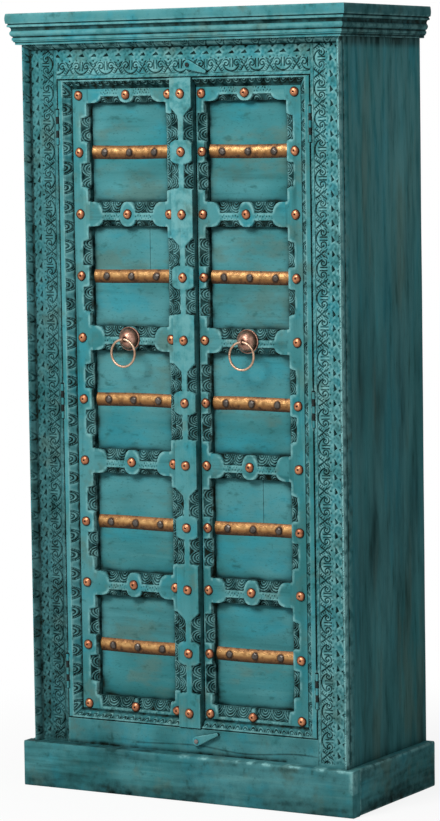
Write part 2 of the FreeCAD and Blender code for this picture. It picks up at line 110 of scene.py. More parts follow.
def cleared(owner):
    """The empty node tree of a material or a world."""
    owner.use_nodes = True
    owner.node_tree.nodes.clear()
    return owner.node_tree


def new_material(name, **constants):
    """A material with one Principled shader, whose plain values are set here, and its object coordinates."""
    material = bpy.data.materials.new(name)
    tree = cleared(material)
    plain = {key.replace("_", " "): value for key, value in constants.items()}
    surface = shader(tree, "BsdfPrincipled", plain)
    shader(tree, "OutputMaterial", {0: surface.outputs[0]})
    return material, tree, surface, shader(tree, "TexCoord").outputs["Object"]


def stretched(tree, place, stretch):
    """The coordinates, each axis multiplied by its stretch: a noise runs long where that is small."""
    return shader(tree, "Mapping", {"Vector": place, "Scale": stretch}).outputs[0]


def coat(tree, surface, colour, roughness, height, distance):
    """Feeds a colour, a roughness and a height, as relief of that distance, to a material's shader."""
    bump = shader(tree, "Bump", {"Height": height, "Distance": distance}).outputs[0]
    feed(tree, surface, {"Base Color": colour, "Roughness": roughness, "Normal": bump})


def bare_wood(name, stretch):
    """Brown planks: broad bands and fine pores that run along the plank."""
    material, tree, surface, place = new_material(name, Specular_IOR_Level=0.25)
    along = stretched(tree, place, stretch)
    bands = noise(tree, along, 26.0, 4.0, 0.6)
    pores = noise(tree, along, 240.0)
    colour = mixed(tree, ramp(tree, bands, 0.3, 0.7), srgb(146, 110, 76), srgb(108, 76, 50))
    colour = mixed(tree, ramp(tree, pores, 0.55, 0.75, 0.0, 0.5), colour, srgb(66, 44, 30))
    coat(tree, surface, colour, ramp(tree, pores, 0.3, 0.7, 0.5, 0.7), pores, 0.0004)
    return material


def dress(material, *nodes):
    """Gives CAD nodes that keep their own shape a material."""
    for name in nodes:
        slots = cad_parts[name].data.materials
        slots.clear()
        slots.append(material)


plank_grain = 0.07
level_wood = bare_wood("bare_wood_level", (plank_grain, 1.0, 1.0))
deep_wood = bare_wood("bare_wood_deep", (1.0, plank_grain, 1.0))
upright_wood = bare_wood("bare_wood_upright", (1.0, 1.0, plank_grain))
dress(level_wood, "bottom_board", "ceiling_board", "plinth_back")
dress(level_wood, "lower_shelf", "middle_shelf", "upper_shelf")
dress(deep_wood, "shelf_cleats")
dress(upright_wood, "back_boards", "plinth_blocks")


# Side panels: wide boards of the same wood, painted outside in turquoise and rubbed back.
# They stand behind the front frame, from the floor to the cornice, with their arrises eased by hand.
def new_group(name, inputs, outputs):
    """A shader node group with sockets of those names and kinds, and what its inputs give inside it."""
    group = bpy.data.node_groups.new(name, "ShaderNodeTree")
    for way, sockets in (("INPUT", inputs), ("OUTPUT", outputs)):
        for label, kind in sockets.items():
            group.interface.new_socket(label, in_out=way, socket_type="NodeSocket" + kind)
    return group, group.nodes.new("NodeGroupInput").outputs


mesh_masks = {"Glaze_and_shade": "Float", "Wear_and_highlight": "Float"}


def aged_paint_group():
    """Turquoise paint, clouded and streaked along the grain, dark with glaze and painted shade, pale with
    wear and painted highlights.
    """
    inputs = {"Place": "Vector", "Grain": "Vector", "Streak": "Float", **mesh_masks}
    outputs = {"Color": "Color", "Roughness": "Float", "Height": "Float"}
    group, given = new_group("aged_paint", inputs, outputs)
    clouds = noise(group, given["Place"], 5.0, 3.0, 0.55)
    drifts = noise(group, given["Place"], 12.0, 4.0, 0.62)
    patches = noise(group, given["Place"], 46.0, 3.0, 0.6)
    grit = noise(group, given["Place"], 300.0)
    streaks = noise(group, given["Grain"], 42.0, 4.0, 0.65)
    stains = noise(group, given["Grain"], 9.0, 3.0, 0.6)
    colour = mixed(group, ramp(group, clouds, 0.35, 0.65), srgb(58, 127, 131), srgb(82, 145, 149))
    layers = (
        (drifts, 0.5, 0.68, 0.6, (46, 142, 156)),
        (drifts, 0.48, 0.32, 0.7, (88, 120, 112)),
        (stains, 0.52, 0.72, 0.5, (40, 94, 92)),
        (streaks, 0.52, 0.76, 0.6, (30, 80, 80)),
        (streaks, 0.45, 0.25, 0.4, (106, 164, 162)),
        (patches, 0.58, 0.76, 0.55, (34, 76, 70)),
        (grit, 0.58, 0.78, 0.4, (36, 80, 78)),
    )
    for mask, low, high, share, tint in layers:
        cover = ramp(group, mask, low, high, 0.0, share)
        if mask is streaks:
            cover = maths(group, "MULTIPLY", given["Streak"], cover)
        colour = mixed(group, cover, colour, srgb(*tint))
    broken = ramp(group, patches, 0.3, 0.65, 0.7, 1.0)
    glaze = mixed(group, ramp(group, drifts, 0.4, 0.6), srgb(2, 20, 21), srgb(24, 28, 19))
    colour = mixed(group, maths(group, "MULTIPLY", given["Glaze_and_shade"], broken), colour, glaze)
    rubbed_and_highlight = maths(group, "MULTIPLY", given["Wear_and_highlight"], ramp(group, patches, 0.62, 0.4, 0.15, 1.0))
    colour = mixed(group, rubbed_and_highlight, colour, srgb(128, 181, 181))
    relief = maths(group, "ADD", streaks, maths(group, "MULTIPLY", grit, 0.4))
    roughness = ramp(group, patches, 0.3, 0.7, 0.42, 0.62)
    made = {"Color": colour, "Roughness": roughness, "Height": relief}
    feed(group, group.nodes.new("NodeGroupOutput"), made)
    return group


def layered(tree, group, values):
    """Places a group in a material, with its glaze, wear and painted shade and highlights from the mesh, and
    gives its outputs.
    """
    for socket in mesh_masks:
        values[socket] = shader(tree, "Attribute", attribute_name=socket.lower()).outputs["Fac"]
    return shader(tree, "Group", values, node_tree=group).outputs


aged_paint = aged_paint_group()


def painted(name, stretch, streak=1.0, clouds=(1.0, 1.0, 1.0)):
    """The aged paint with its streaks and clouds along the wood, and its glaze, wear and painted shade and
    highlights from the mesh.
    """
    material, tree, surface, place = new_material(name, Specular_IOR_Level=0.01)
    places = {"Place": stretched(tree, place, clouds), "Grain": stretched(tree, place, stretch)}
    paint = layered(tree, aged_paint, {**places, "Streak": streak})
    coat(tree, surface, paint["Color"], paint["Roughness"], paint["Height"], 0.0005)
    return material


paint_grain = 0.06
upright_paint = painted("turquoise_paint_upright", (1.0, 1.0, paint_grain))
level_paint = painted("turquoise_paint_level", (paint_grain, 1.0, 1.0))
deep_paint = painted("turquoise_paint_deep", (1.0, paint_grain, 1.0))
close_lines = 0.0011


def grid_lines(low, high, step, *stops):
    """Lines from low to high, at most step apart, through every stop, with close lines at the ends."""
    close = min(step, close_lines)
    ends = (low, low + close / 2, low + close, high - close, high - close / 2, high)
    marks = np.unique(np.round([*ends, *stops], 6))
    counts = [max(1, math.ceil(span / step - 1e-6)) for span in np.diff(marks)]
    spans = zip(marks, marks[1:], counts)
    return np.append(np.concatenate([np.linspace(*span, endpoint=False) for span in spans]), high)


def crossed(across, along):
    """A grid as a column and a row of lines, each given as grid_lines takes them."""
    return np.ix_(grid_lines(*across), grid_lines(*along))


def blurred(field, reach):
    """The mean of a field over reach samples each way, from running sums, taken twice to fall off softly."""
    for axis in (0, 1, 0, 1):
        margin = [(0, 0), (0, 0)]
        margin[axis] = (reach + 1, reach)
        total = np.moveaxis(np.cumsum(np.pad(field, margin, mode="edge"), axis=axis), axis, 0)
        window = 2 * reach + 1
        field = np.moveaxis((total[window:] - total[:-window]) / window, 0, axis)
    return field


def smooth_step(value, low, high):
    """0 below low, 1 above high, and a cubic between."""
    share = np.clip((value - low) / (high - low), 0, 1)
    return share * share * (3 - 2 * share)


def fading(value, low, high):
    """1 below low, 0 above high, and a cubic between."""
    return smooth_step(-value, -high, -low)


def waver(across, along, span):
    """A slow unevenness from -1 to 1: three sine waves of about that span, two of them bent by another."""
    first = np.sin(across / span * 5.1 + 1.7 * np.sin(along / span * 2.3 + 0.4))
    second = np.sin(along / span * 6.3 + 1.3 * np.sin(across / span * 3.1 + 1.9))
    return (first + second + np.sin((across - along) / span * 3.7 + 2.6)) / 3


def outwards(points, quads, caps):
    """Turns the faces round where the volume that they enclose comes out negative."""
    fans = [(cap[0], b, c) for cap in caps for b, c in zip(cap[1:-1], cap[2:])]
    fans = np.array(fans, int).reshape(-1, 3)
    corners = np.concatenate([quads[:, [0, 1, 2]], quads[:, [0, 2, 3]], fans])
    first, second, third = (points[corners[:, k]] for k in range(3))
    if np.einsum("ij,ij->", first, np.cross(second, third)) < 0:
        return quads[:, ::-1], [cap[::-1] for cap in caps]
    return quads, caps


mean_reach = 3
glaze_scale = 0.0006
glazed_from = 0.05
bare_polish = 0.25
rim_band = 2.2
arris_wall = 0.0014
heel_share = 0.1
back_glaze = 0.12
lip_wear = 0.6


def board(
    across, along, depth, place, level, axis=1, ease=0.0011, wall=0.0, glaze_and_shade=0.0, rub=0.7, polish=0.7
):
    """A closed board: a face sunk by depth over a grid, walls from its rim to a flat back, and the back.

    The grid is a column across and a row along, and place turns them and depth into points. The back is where
    coordinate axis equals level. The rim is rounded by a quarter circle of radius ease. Glaze lies where the
    face is deeper than its mean nearby, and glaze and painted shade lie all over by the given amount. Painted
    shade lies on the walls by wall, which may be worked out from their points. Wear lies where a glazed face
    is above its mean, by polish, and at the rim, by rub, which past full wear also paints a highlight along
    the rim.
    """
    side = np.minimum(across - across[0], across[-1] - across)
    end = np.minimum(along - along[:, :1], along[:, -1:] - along)
    rounding = sum(ease - np.sqrt(ease**2 - np.clip(ease - gap, 0, ease) ** 2) for gap in (side, end))
    grid = np.broadcast_arrays(across, along)
    depth = np.broadcast_to(depth, grid[0].shape)
    proud = (blurred(depth, mean_reach) - depth) / glaze_scale
    dark = np.clip(np.maximum(-proud, 0) + glaze_and_shade, 0, 1).ravel()
    share = np.where(np.asarray(glaze_and_shade) > glazed_from, polish, bare_polish)
    rim_wear = rub * fading(np.minimum(side, end), 0, rim_band * ease)
    worn = np.maximum(np.maximum(share * np.tanh(proud), rim_wear), 0).ravel()
    face = np.stack(place(*grid, depth + np.minimum(rounding, ease)), axis=-1)

    rows, columns = face.shape[:2]
    count = rows * columns
    index = np.arange(count).reshape(rows, columns)
    corners = [index[:-1, :-1], index[1:, :-1], index[1:, 1:], index[:-1, 1:]]
    quads = [np.stack(corners, axis=-1).reshape(-1, 4)]
    rim = np.concatenate([index[:-1, 0], index[-1, :-1], index[:0:-1, -1], index[0, :0:-1]])
    face = face.reshape(-1, 3)
    lip = face[rim]
    back = lip.copy()
    back[:, axis] = level
    drop = np.abs(back - lip).max(axis=1, keepdims=True)
    lip = lip + (back - lip) * np.minimum(arris_wall / np.maximum(drop, arris_wall), 0.4)
    heel = back + (lip - back) * heel_share
    rings = [rim, *(count + np.arange(3 * len(rim)).reshape(3, -1))]
    for near, far in zip(rings, rings[1:]):
        quads.append(np.stack([near, far, np.roll(far, -1), np.roll(near, -1)], axis=-1))
    behind = np.full(count, -1)
    behind[rim] = rings[-1]
    behind = behind.reshape(rows, columns)
    strips = [behind[1:-2, 0], behind[1:-2, -1], behind[2:-1, -1], behind[2:-1, 0]]
    quads.append(np.stack(strips, axis=-1))
    caps = [
        [*behind[0], behind[1, -1], behind[1, 0]],
        [behind[-2, 0], behind[-2, -1], *behind[-1, ::-1]],
    ]
    points = np.concatenate([face, lip, heel, back])
    quads, caps = outwards(points, np.concatenate(quads), caps)
    still = np.zeros(len(rim))
    shade = still + (wall(lip) if callable(wall) else wall)
    dark = np.concatenate([dark, shade, shade, still + back_glaze])
    return points, quads, caps, dark, np.concatenate([worn, lip_wear * worn[rim], still, still])


def in_scene(name, data):
    """A new object with that data, put in the scene."""
    made = bpy.data.objects.new(name, data)
    bpy.context.scene.collection.objects.link(made)
    return made


def piece(name, node, shells, material, body="carcase", sharp=40):
    """Joins closed shells into one mesh with its glaze, wear and painted shade and highlights, and puts it in
    the place of a CAD node.
    """
    starts = np.cumsum([0] + [len(shell[0]) for shell in shells])
    faces = []
    for start, shell in zip(starts, shells):
        faces += (shell[1] + start).tolist()
        faces += [[int(corner + start) for corner in cap] for cap in shell[2]]
    mesh = bpy.data.meshes.new(name)
    mesh.from_pydata(np.concatenate([shell[0] for shell in shells]).tolist(), [], faces)
    for label, place in (("glaze_and_shade", 3), ("wear_and_highlight", 4)):
        values = np.concatenate([shell[place] for shell in shells]).astype(np.float32)
        mesh.attributes.new(label, "FLOAT", "POINT").data.foreach_set("value", values)
    mesh.polygons.foreach_set("use_smooth", np.ones(len(mesh.polygons), bool))
    mesh.set_sharp_from_angle(angle=math.radians(sharp))
    mesh.materials.append(material)
    made = in_scene(name, mesh)
    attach(made, body)
    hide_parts(node)


def flank(node, line_step, level_step):
    """A side board's grid, the place of its points, with depth in from the outer face, and its inner face."""
    low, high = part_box(node)
    sign = math.copysign(1, low.x + high.x)
    inner, outer = sorted((low.x, high.x), key=abs)
    y, z = crossed((low.y, high.y, line_step), (low.z, high.z, level_step))
    return y, z, lambda y, z, d: (outer - sign * d, y, z), inner


def side_shade_and_clouds(y, z):
    """Darkening on the sides: more towards the floor, a painted shadow under the cornice, and long clouds."""
    fall = 0.46 * fading(z, 0.7, 1.6) + 0.95 * smooth_step(z, side_top - 0.030, side_top - 0.006)
    clouds = 0.16 * waver(y, 0.12 * z, 0.055) + 0.12 * waver(y + 0.4, 0.3 * z, 0.12)
    return np.clip(0.02 + fall + clouds, 0, 1)


sides = (("left", -1), ("right", 1))
side_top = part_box("cornice_left")[0].z
side_steps = (0.006, 0.012)
side_sag = 0.0003
# The sides are made paler towards the top.
side_top_paling = 0.2
side_paint = painted("turquoise_paint_side", (1.0, 1.0, paint_grain), 0.8, (1.0, 1.0, 0.16))
for name in ("left", "right"):
    y, z, place, inner = flank(name + "_side_panel", *side_steps)
    sag = side_sag * (1 + waver(y, z, 0.3)) * smooth_step(y - y[0], 0, 0.05)
    shell = board(y, z, sag, place, inner, 0, ease=0.0004, glaze_and_shade=side_shade_and_clouds(y, z), rub=0.0)
    shell[4][:] = np.maximum(shell[4], side_top_paling * smooth_step(shell[0][:, 2], 0.9, 1.6))
    piece(name + "_side_panel_painted", name + "_side_panel", [shell], side_paint)


# Plinth: thick boards nailed round the foot, proud of the body, with a ledge along the top.
# The same paint, scuffed dark near the floor and rubbed pale along the upper arris. The sides carry a film of
# painted shade.
plinth_ease = 0.0035
plinth_steps = (0.008, 0.003)
plinth_side_shade = 0.16


def facing(y, sign=1):
    """The place of a front board's points: across the cabinet, up it, and depth in from the face at y."""
    return lambda x, z, d: (sign * x, y + d, z)


def dents(along, z):
    """Shallow dents all over a plinth board, from a slow waver."""
    return 0.0004 * (1 + waver(along, z, 0.16))


def plinth_glaze(along, z):
    """The glaze on the plinth: long clouds and streaks, and a scuffed foot."""
    streaks = 0.2 * waver(along, 3 * z, 0.22) + 0.12 * waver(0.3 * along, 2 * z, 0.03)
    return np.clip(0.32 + streaks + 0.3 * fading(z, 0, 0.05), 0, 1)


def ledge_glaze(points):
    """The glaze on the plinth's ledge: heavy on the left and thin on the right."""
    x = points[:, 0]
    return np.clip(0.8 - 0.5 * smooth_step(x, -0.2, 0.1) + 0.2 * waver(x, 0, 0.05), 0, 1)


low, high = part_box("plinth_front")
plinth_top = high.z
across = (low.x, high.x, plinth_steps[0], low.x + plinth_ease, high.x - plinth_ease)
x, z = crossed(across, (low.z, high.z, plinth_steps[1]))
smudge = 0.6 * np.exp(-(((x + 0.18) / 0.05) ** 2)) * fading(z, 0, 0.04)
flecks = 1.6 * smooth_step(x, -0.1, 0.05) * smooth_step(waver(x, 0, 0.035), -0.1, 0.3)
shell = board(
    x, z, dents(x, z), facing(low.y), high.y, ease=plinth_ease, wall=ledge_glaze,
    glaze_and_shade=plinth_glaze(x, z) + smudge, rub=(0.1 + flecks) * (z > plinth_top / 2),
)
piece("plinth_front_painted", "plinth_front", [shell], level_paint)
for name in ("plinth_left", "plinth_right"):
    y, z, place, inner = flank(name, *plinth_steps)
    stain_and_shade = plinth_side_shade + plinth_glaze(y, z)
    shell = board(y, z, dents(y, z), place, inner, 0, ease=plinth_ease, glaze_and_shade=stain_and_shade)
    piece(name + "_painted", name, [shell], deep_paint)


# Front frame: two stiles to the floor with a top rail and a bottom rail tenoned between them.
# A band of mirrored scrolls and a row of lobes is cut into the stiles and the top rail.
# All are of painted hardwood, and the bottom rail is plain. Painted shade lies on the walls in the opening,
# round each hinge's barrel and in a line along the foot of the raised border.
frame_low, frame_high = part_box("left_frame_stile")
face_y = frame_low.y
frame_back = frame_high.y
half_width = -frame_low.x
opening_half = -frame_high.x
body_top = frame_high.z
opening_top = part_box("top_frame_rail")[0].z
rail_under, opening_bottom = (corner.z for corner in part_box("bottom_frame_rail"))
band_outer = -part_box("left_border")[1].x - opening_half
cut_step, run_step = 0.0013, 0.0014
band_fillet = 0.007
band_channel = 0.0022
scroll_repeat = 0.066
carving = 0.0028
band_glaze = {"left": 0.27, "right": 0.12, "top": 0.12}
band_polish = {"left": 0.2, "right": 0.8}
low_glaze = {"left": 0.50, "right": 0.12}
scallop = {"left": 0.45, "right": 1.0, "top": 1.0}
slant = {"left": 0.6, "right": 0.4, "top": -0.35}
sway_across, sway_along = (0.0009, 0.045), (0.0016, 0.07)
soft_end, foot_gap = 0.0005, 0.001
stem_gap, stem_cut, stem_span = 0.0036, 0.0024, (0.009, 0.029)
bow_radius, bow_cut, bow_span = 0.0214, 0.0031, (-0.001, 0.016)
vein_pitch, vein_band, vein_span = 0.0074, (0.0035, 0.011), (foot_gap, 0.027)
curl_centre, curl_pitch, curl_radius = (0.0138, 0.0182), 0.0068, 0.0100
strand_foot, strand_top, strand_cut = (0.0240, 0.0012), 0.0140, 0.0029
tip_end, tip_cut = 0.029, 0.0026
seed_rise, seed_cut = 0.0305, 0.0034
dot_rise, dot_cut = 0.0312, 0.0026
chain_base, chain_apex, chain_foot = 0.0495, 0.0575, 0.0605
inner_wedge, outer_wedge, wedge_edge = 0.0086, 0.0068, 0.0016


def cut_line(gap, half):
    """A V cut: 1 along its line, where the gap is 0, and 0 from half its width outwards."""
    return fading(np.abs(gap), 0, half)


def inside(value, low, high):
    """1 between low and high, with soft ends a millimetre long."""
    rise = smooth_step(value, low - soft_end, low + soft_end)
    return rise * fading(value, high - soft_end, high + soft_end)


def scroll_band(across, along, name):
    """How deep the band is cut at a distance across it, from the opening outwards, and along it.

    Past a plain fillet and a groove, the strokes mirror about stems that stand a repeat apart: two lines for
    the stem, a bow, which is a circle under it, with slanting veins outside it, a curl on each side, where
    the cosine of radius over pitch plus the angle is low, and half-way between stems a strand, which is two
    straight lines. Outside them are two rows of wedge cuts, point to point, twice in each repeat, which leave
    a row of lobes. A fine waver roughens it all.
    """
    across = across + sway_across[0] * waver(across, along, sway_across[1])
    along = along + sway_along[0] * waver(along, across, sway_along[1])
    half = scroll_repeat / 2
    beside = np.abs((along / scroll_repeat + 0.5) % 1 - 0.5) * scroll_repeat
    rise = across - band_fillet - band_channel
    bow = np.hypot(beside, rise - bow_radius - foot_gap) - bow_radius
    veins = smooth_step(np.sin(2 * np.pi * (beside + rise) / vein_pitch), 0.2, 0.9)
    ring = np.hypot(beside - curl_centre[0], rise - curl_centre[1])
    angle = np.arctan2(rise - curl_centre[1], beside - curl_centre[0])
    curl = fading(np.cos(2 * np.pi * (ring / curl_pitch + angle / (2 * np.pi))), -0.9, 0.2)
    lean = np.arctan2(half - strand_foot[0], strand_top - strand_foot[1])
    strand = (beside - strand_foot[0]) * np.cos(lean) - (rise - strand_foot[1]) * np.sin(lean)
    tip = (beside - half) * np.cos(lean) + (rise - strand_top) * np.sin(lean)
    link = np.abs(((along + slant[name] * (across - chain_base)) / half + 0.5) % 1 - 0.5) * half
    inner = inner_wedge * (chain_apex - across) / (chain_apex - chain_base) - link
    outer = outer_wedge * (across - chain_foot) / (band_outer - chain_foot) - link
    past_base = smooth_step(across, chain_base - 0.0008, chain_base + 0.0006)
    cuts = [
        0.7 * cut_line(rise + band_channel / 2, band_channel / 2),
        0.9 * cut_line(beside - stem_gap, stem_cut) * inside(rise, *stem_span),
        cut_line(bow, bow_cut) * inside(rise, *bow_span),
        0.8 * veins * inside(bow, *vein_band) * inside(rise, *vein_span),
        1.1 * curl * fading(ring, curl_radius - 0.0015, curl_radius),
        cut_line(strand, strand_cut) * inside(rise, foot_gap, strand_top),
        0.8 * cut_line(tip, tip_cut) * inside(rise, strand_top, tip_end),
        1.2 * cut_line(np.hypot(beside - half, rise - seed_rise), seed_cut),
        cut_line(np.hypot(beside - curl_centre[0], rise - dot_rise), dot_cut),
        1.3 * smooth_step(inner, 0, wedge_edge) * past_base,
        scallop[name] * smooth_step(outer, 0, wedge_edge),
        0.13 * (1 + waver(1.3 * across, along, 0.010)),
    ]
    return carving * np.max(np.broadcast_arrays(*cuts), axis=0)


door_low, door_high = (corner.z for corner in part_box("left_door_hinge_stile"))
hinge_inset = 0.108
hinge_height = 0.080
leaf_notch, leaf_reach, leaf_spare = 0.0017, 0.004, 0.0004
barrel_radius, barrel_spare = 0.0039, 0.0016
hinge_middles = np.linspace(door_low + hinge_inset, door_high - hinge_inset, 3)
hinge_axis = opening_half - 0.001
hinge_stops = np.concatenate([hinge_middles - hinge_height / 2, hinge_middles + hinge_height / 2])
leaf_stops = np.concatenate([hinge_stops - leaf_spare, hinge_stops + leaf_spare])
hinge_cuts = np.concatenate([leaf_stops, hinge_stops - barrel_spare, hinge_stops + barrel_spare])


def at_hinge(level, spare):
    """1 beside a hinge, carried on past its ends by spare, and 0 elsewhere."""
    near = np.abs(level[..., None] - hinge_middles).min(axis=-1)
    return (near <= hinge_height / 2 + spare).astype(float)


def leaf_cut(gap, level):
    """How far an edge is let in for the hinges' leaves, fading with the gap from that edge."""
    return leaf_notch * at_hinge(level, leaf_spare) * np.clip(1 - gap / leaf_reach, 0, 1)


def hinge_groove(reach, level, depth):
    """The depth, cut at least as deep as the round groove that clears each hinge's barrel."""
    groove = np.sqrt(np.clip(barrel_radius**2 - (reach - hinge_axis) ** 2, 0, None))
    return np.maximum(depth, groove * at_hinge(level, barrel_spare))


def hinge_gap_shade(reach, level):
    """Painted shade in the cut round each hinge's barrel."""
    return 0.9 * at_hinge(level, barrel_spare) * fading(np.abs(reach - hinge_axis), 0.0050, 0.0072)


def frame_wall_shade(points):
    """Painted shade on the opening's walls; on the outer edge, flush with the side panel, the sides' own
    darkening.
    """
    outer = np.abs(points[:, 0]) > half_width - 0.001
    return np.where(outer, side_shade_and_clouds(points[:, 1], points[:, 2]), 1.0)


border_shade = 0.0012
under_ledge = 0.03
carve_from, carve_full = 0.004, 0.01
plain_step = 0.006
foot = opening_half + band_outer
lines = grid_lines(opening_half, half_width, cut_step, opening_half + leaf_reach, foot - border_shade, foot)
levels = np.append(0.0, grid_lines(plinth_top - under_ledge, body_top, run_step, plinth_top, *hinge_cuts))
x, z = np.ix_(lines, levels)
for name, sign in sides:
    depth = scroll_band(x - opening_half, z - opening_bottom, name)
    depth = hinge_groove(x, z, depth * smooth_step(z, plinth_top + carve_from, plinth_top + carve_full))
    stain_and_shade = band_glaze[name] + low_glaze[name] * (1 - z / body_top) + hinge_gap_shade(x, z)
    # A painted shadow line along the foot of the raised border.
    stain_and_shade = stain_and_shade + 0.8 * smooth_step(x, foot - border_shade, foot)

    def stile_place(reach, z, d):
        """Reach from the middle, more where the edge is let in for a hinge, and depth in from the face."""
        return sign * (reach + leaf_cut(reach - opening_half, z)), face_y + d, z

    shell = board(
        x, z, depth, stile_place, frame_back, wall=frame_wall_shade, glaze_and_shade=stain_and_shade, rub=0.5,
        polish=band_polish[name],
    )
    piece(name + "_frame_stile_carved", name + "_frame_stile", [shell], upright_paint)

x, z = crossed((-opening_half, opening_half, run_step), (opening_top, body_top, cut_step))
depth = scroll_band(z - opening_top, x, "top")
# A painted shadow line along the foot of the raised border, carried on dark up under the border.
stain_and_shade = band_glaze["top"] + 0.7 * smooth_step(z, opening_top + band_outer - border_shade, body_top)
shell = board(x, z, depth, facing(face_y), frame_back, wall=0.9, glaze_and_shade=stain_and_shade, rub=0.5)
piece("top_frame_rail_carved", "top_frame_rail", [shell], level_paint)

x, z = crossed((-opening_half, opening_half, plain_step), (rail_under, opening_bottom, run_step))
depth = 0.0006 * (1 + waver(x, z, 0.1))
grain_line = plinth_top + 0.016 + 0.006 * waver(x, 0 * z, 0.19)
stain_and_shade = 0.6 * cut_line(z - grain_line, 0.003) * (x > -0.15)
stain_and_shade = stain_and_shade + 0.75 * fading(z, plinth_top, plinth_top + 0.012) * (x < 0.25)
stain_and_shade = stain_and_shade + 0.18 * (1 + waver(x, z, 0.2))
shell = board(x, z, depth, facing(face_y), frame_back, wall=0.9, glaze_and_shade=stain_and_shade, rub=0.3)
piece("bottom_frame_rail_painted", "bottom_frame_rail", [shell], level_paint)


# Raised border: a moulding planted round the outer edge of the frame and mitred at the top corners.
# It has a narrow crest and a rounded slope down to the frame, nicked with petals.
# It is of painted hardwood, with a film of glaze over it and a painted shadow line along its foot.
front_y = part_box("left_border")[0].y
border_inner = -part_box("left_border")[1].x
border_width = half_width - border_inner
under_skin = 0.0003
border_depth = face_y - front_y - under_skin
border_step = 0.0008
border_crest = 0.004
slope_power = 1.3
border_petal, border_nick = 0.046, 0.0017
nick_width, nick_reach, nick_ground = 0.014, 0.0105, 0.1
border_film = {"left": 0.40, "right": 0.50}
border_polish = {"left": 0.25, "right": 0.7}
# On the right the rub goes past full wear, to paint a highlight along the outer arris.
border_rub_and_highlight = {"left": 0.2, "right": 3.0}
border_ring = 0.0054


def even_row(low, high, pitch):
    """One row of whole petals, of about that pitch, from low to high: its start, its end and its count."""
    return np.array([low]), np.array([high]), max(1, round((high - low) / pitch))


def petals(from_edge, along, rows, width, ring_gap, reach, ground=1.0):
    """The ground between nested raised arches side by side along an edge, each about the middle of its foot.

    rows gives where each row of petals starts and ends, and its count. The arches follow the cosine of the
    distance from the petal's middle over ring_gap, out to reach. Past the groove round the last arch, the
    ground is sunk by its share.
    """
    starts, ends, count = rows
    row = np.clip(np.searchsorted(ends, along), 0, len(starts) - 1)
    pitch = ((ends - starts) / count)[row]
    beside = ((along - starts[row]) / pitch % 1 - 0.5) * pitch
    ring = np.hypot(beside, 0.8 * from_edge) + 0.0011 * waver(along, from_edge, 0.03)
    arches = fading(np.cos(2 * np.pi * ring / ring_gap), -0.9, 0.3)
    arches = arches * fading(ring, reach - 0.001, reach)
    fade = smooth_step(from_edge, 0, 0.001) * fading(from_edge, width - 0.0015, width)
    sunk = ground + (1 - ground) * fading(ring, reach, reach + 0.003)
    return (1 - arches) * sunk * fade


def border_relief(from_foot, along, low, high):
    """The slope falls from the crest to the foot as a power of the share of its width, nicked by petals."""
    share = np.clip((border_width - border_crest - from_foot) / (border_width - border_crest), 0, 1)
    row = even_row(low, high, border_petal)
    nicks = petals(border_width - from_foot, along, row, nick_width, border_ring, nick_reach, nick_ground)
    return np.minimum(border_depth * share**slope_power + border_nick * nicks, border_depth)


def foot_line(from_foot, film_and_shade):
    """A film of glaze over the border, less at its outer edge, and a painted shadow line along its foot."""
    film_and_shade = film_and_shade * fading(from_foot, border_width - 0.0034, border_width - 0.0018)
    return np.maximum(film_and_shade, 0.98 * fading(from_foot, 0.0018, 0.0030))


def border_top_place(x, z, d):
    """The top length's points, drawn in to the mitres as they go down."""
    return x * (half_width - body_top + z) / half_width, front_y + d, z


across = (border_inner, half_width, border_step, half_width - border_crest)
x, z = crossed(across, (plinth_top, body_top, run_step))
depth = border_relief(x - border_inner, z, plinth_top, body_top)
for name, sign in sides:

    def border_place(reach, z, d):
        """The side length's points, drawn down in proportion, so that the top end follows the mitre."""
        mitre = (body_top - half_width + reach - plinth_top) / (body_top - plinth_top)
        return sign * reach, front_y + d, plinth_top + (z - plinth_top) * mitre

    stain_and_shade = foot_line(x - border_inner, border_film[name] + low_glaze[name] * (1 - z / body_top))
    shell = board(
        x, z, depth, border_place, face_y, ease=0.0018, wall=frame_wall_shade, glaze_and_shade=stain_and_shade,
        rub=border_rub_and_highlight[name], polish=border_polish[name],
    )
    piece(name + "_border_carved", name + "_border", [shell], upright_paint)
under = body_top - border_width
upwards = (under, body_top, border_step, body_top - border_crest)
x, z = crossed((-half_width, half_width, run_step), upwards)
depth = border_relief(z - under, x, -half_width, half_width)
# On the top length the film is painted shadow from the cornice above.
stain_and_shade = foot_line(z - under, 0.72)
shell = board(x, z, depth, border_top_place, face_y, ease=0.0009, wall=0.9, glaze_and_shade=stain_and_shade, rub=0.0)
piece("top_border_carved", "top_border", [shell], level_paint)


# Cornice: a run moulding of steps, a swelling, a cove and a thick rounded nose, mitred at the front corners.
# Planed from one board, painted, with glaze left in its quirks and wear along its edges.
# The sides are darkened as painted shade, most low down, and their edges are rubbed paler, partly as painted
# highlight.
def arc_through(first, middle, last, count):
    """Points along a bow: a straight line from first to last plus a parabola through the middle."""
    first, middle, last = (np.array(point, float) for point in (first, middle, last))
    rise = middle - (first + last) / 2
    share = np.linspace(0, 1, count)[:, None]
    return first + share * (last - first) + 4 * share * (1 - share) * rise


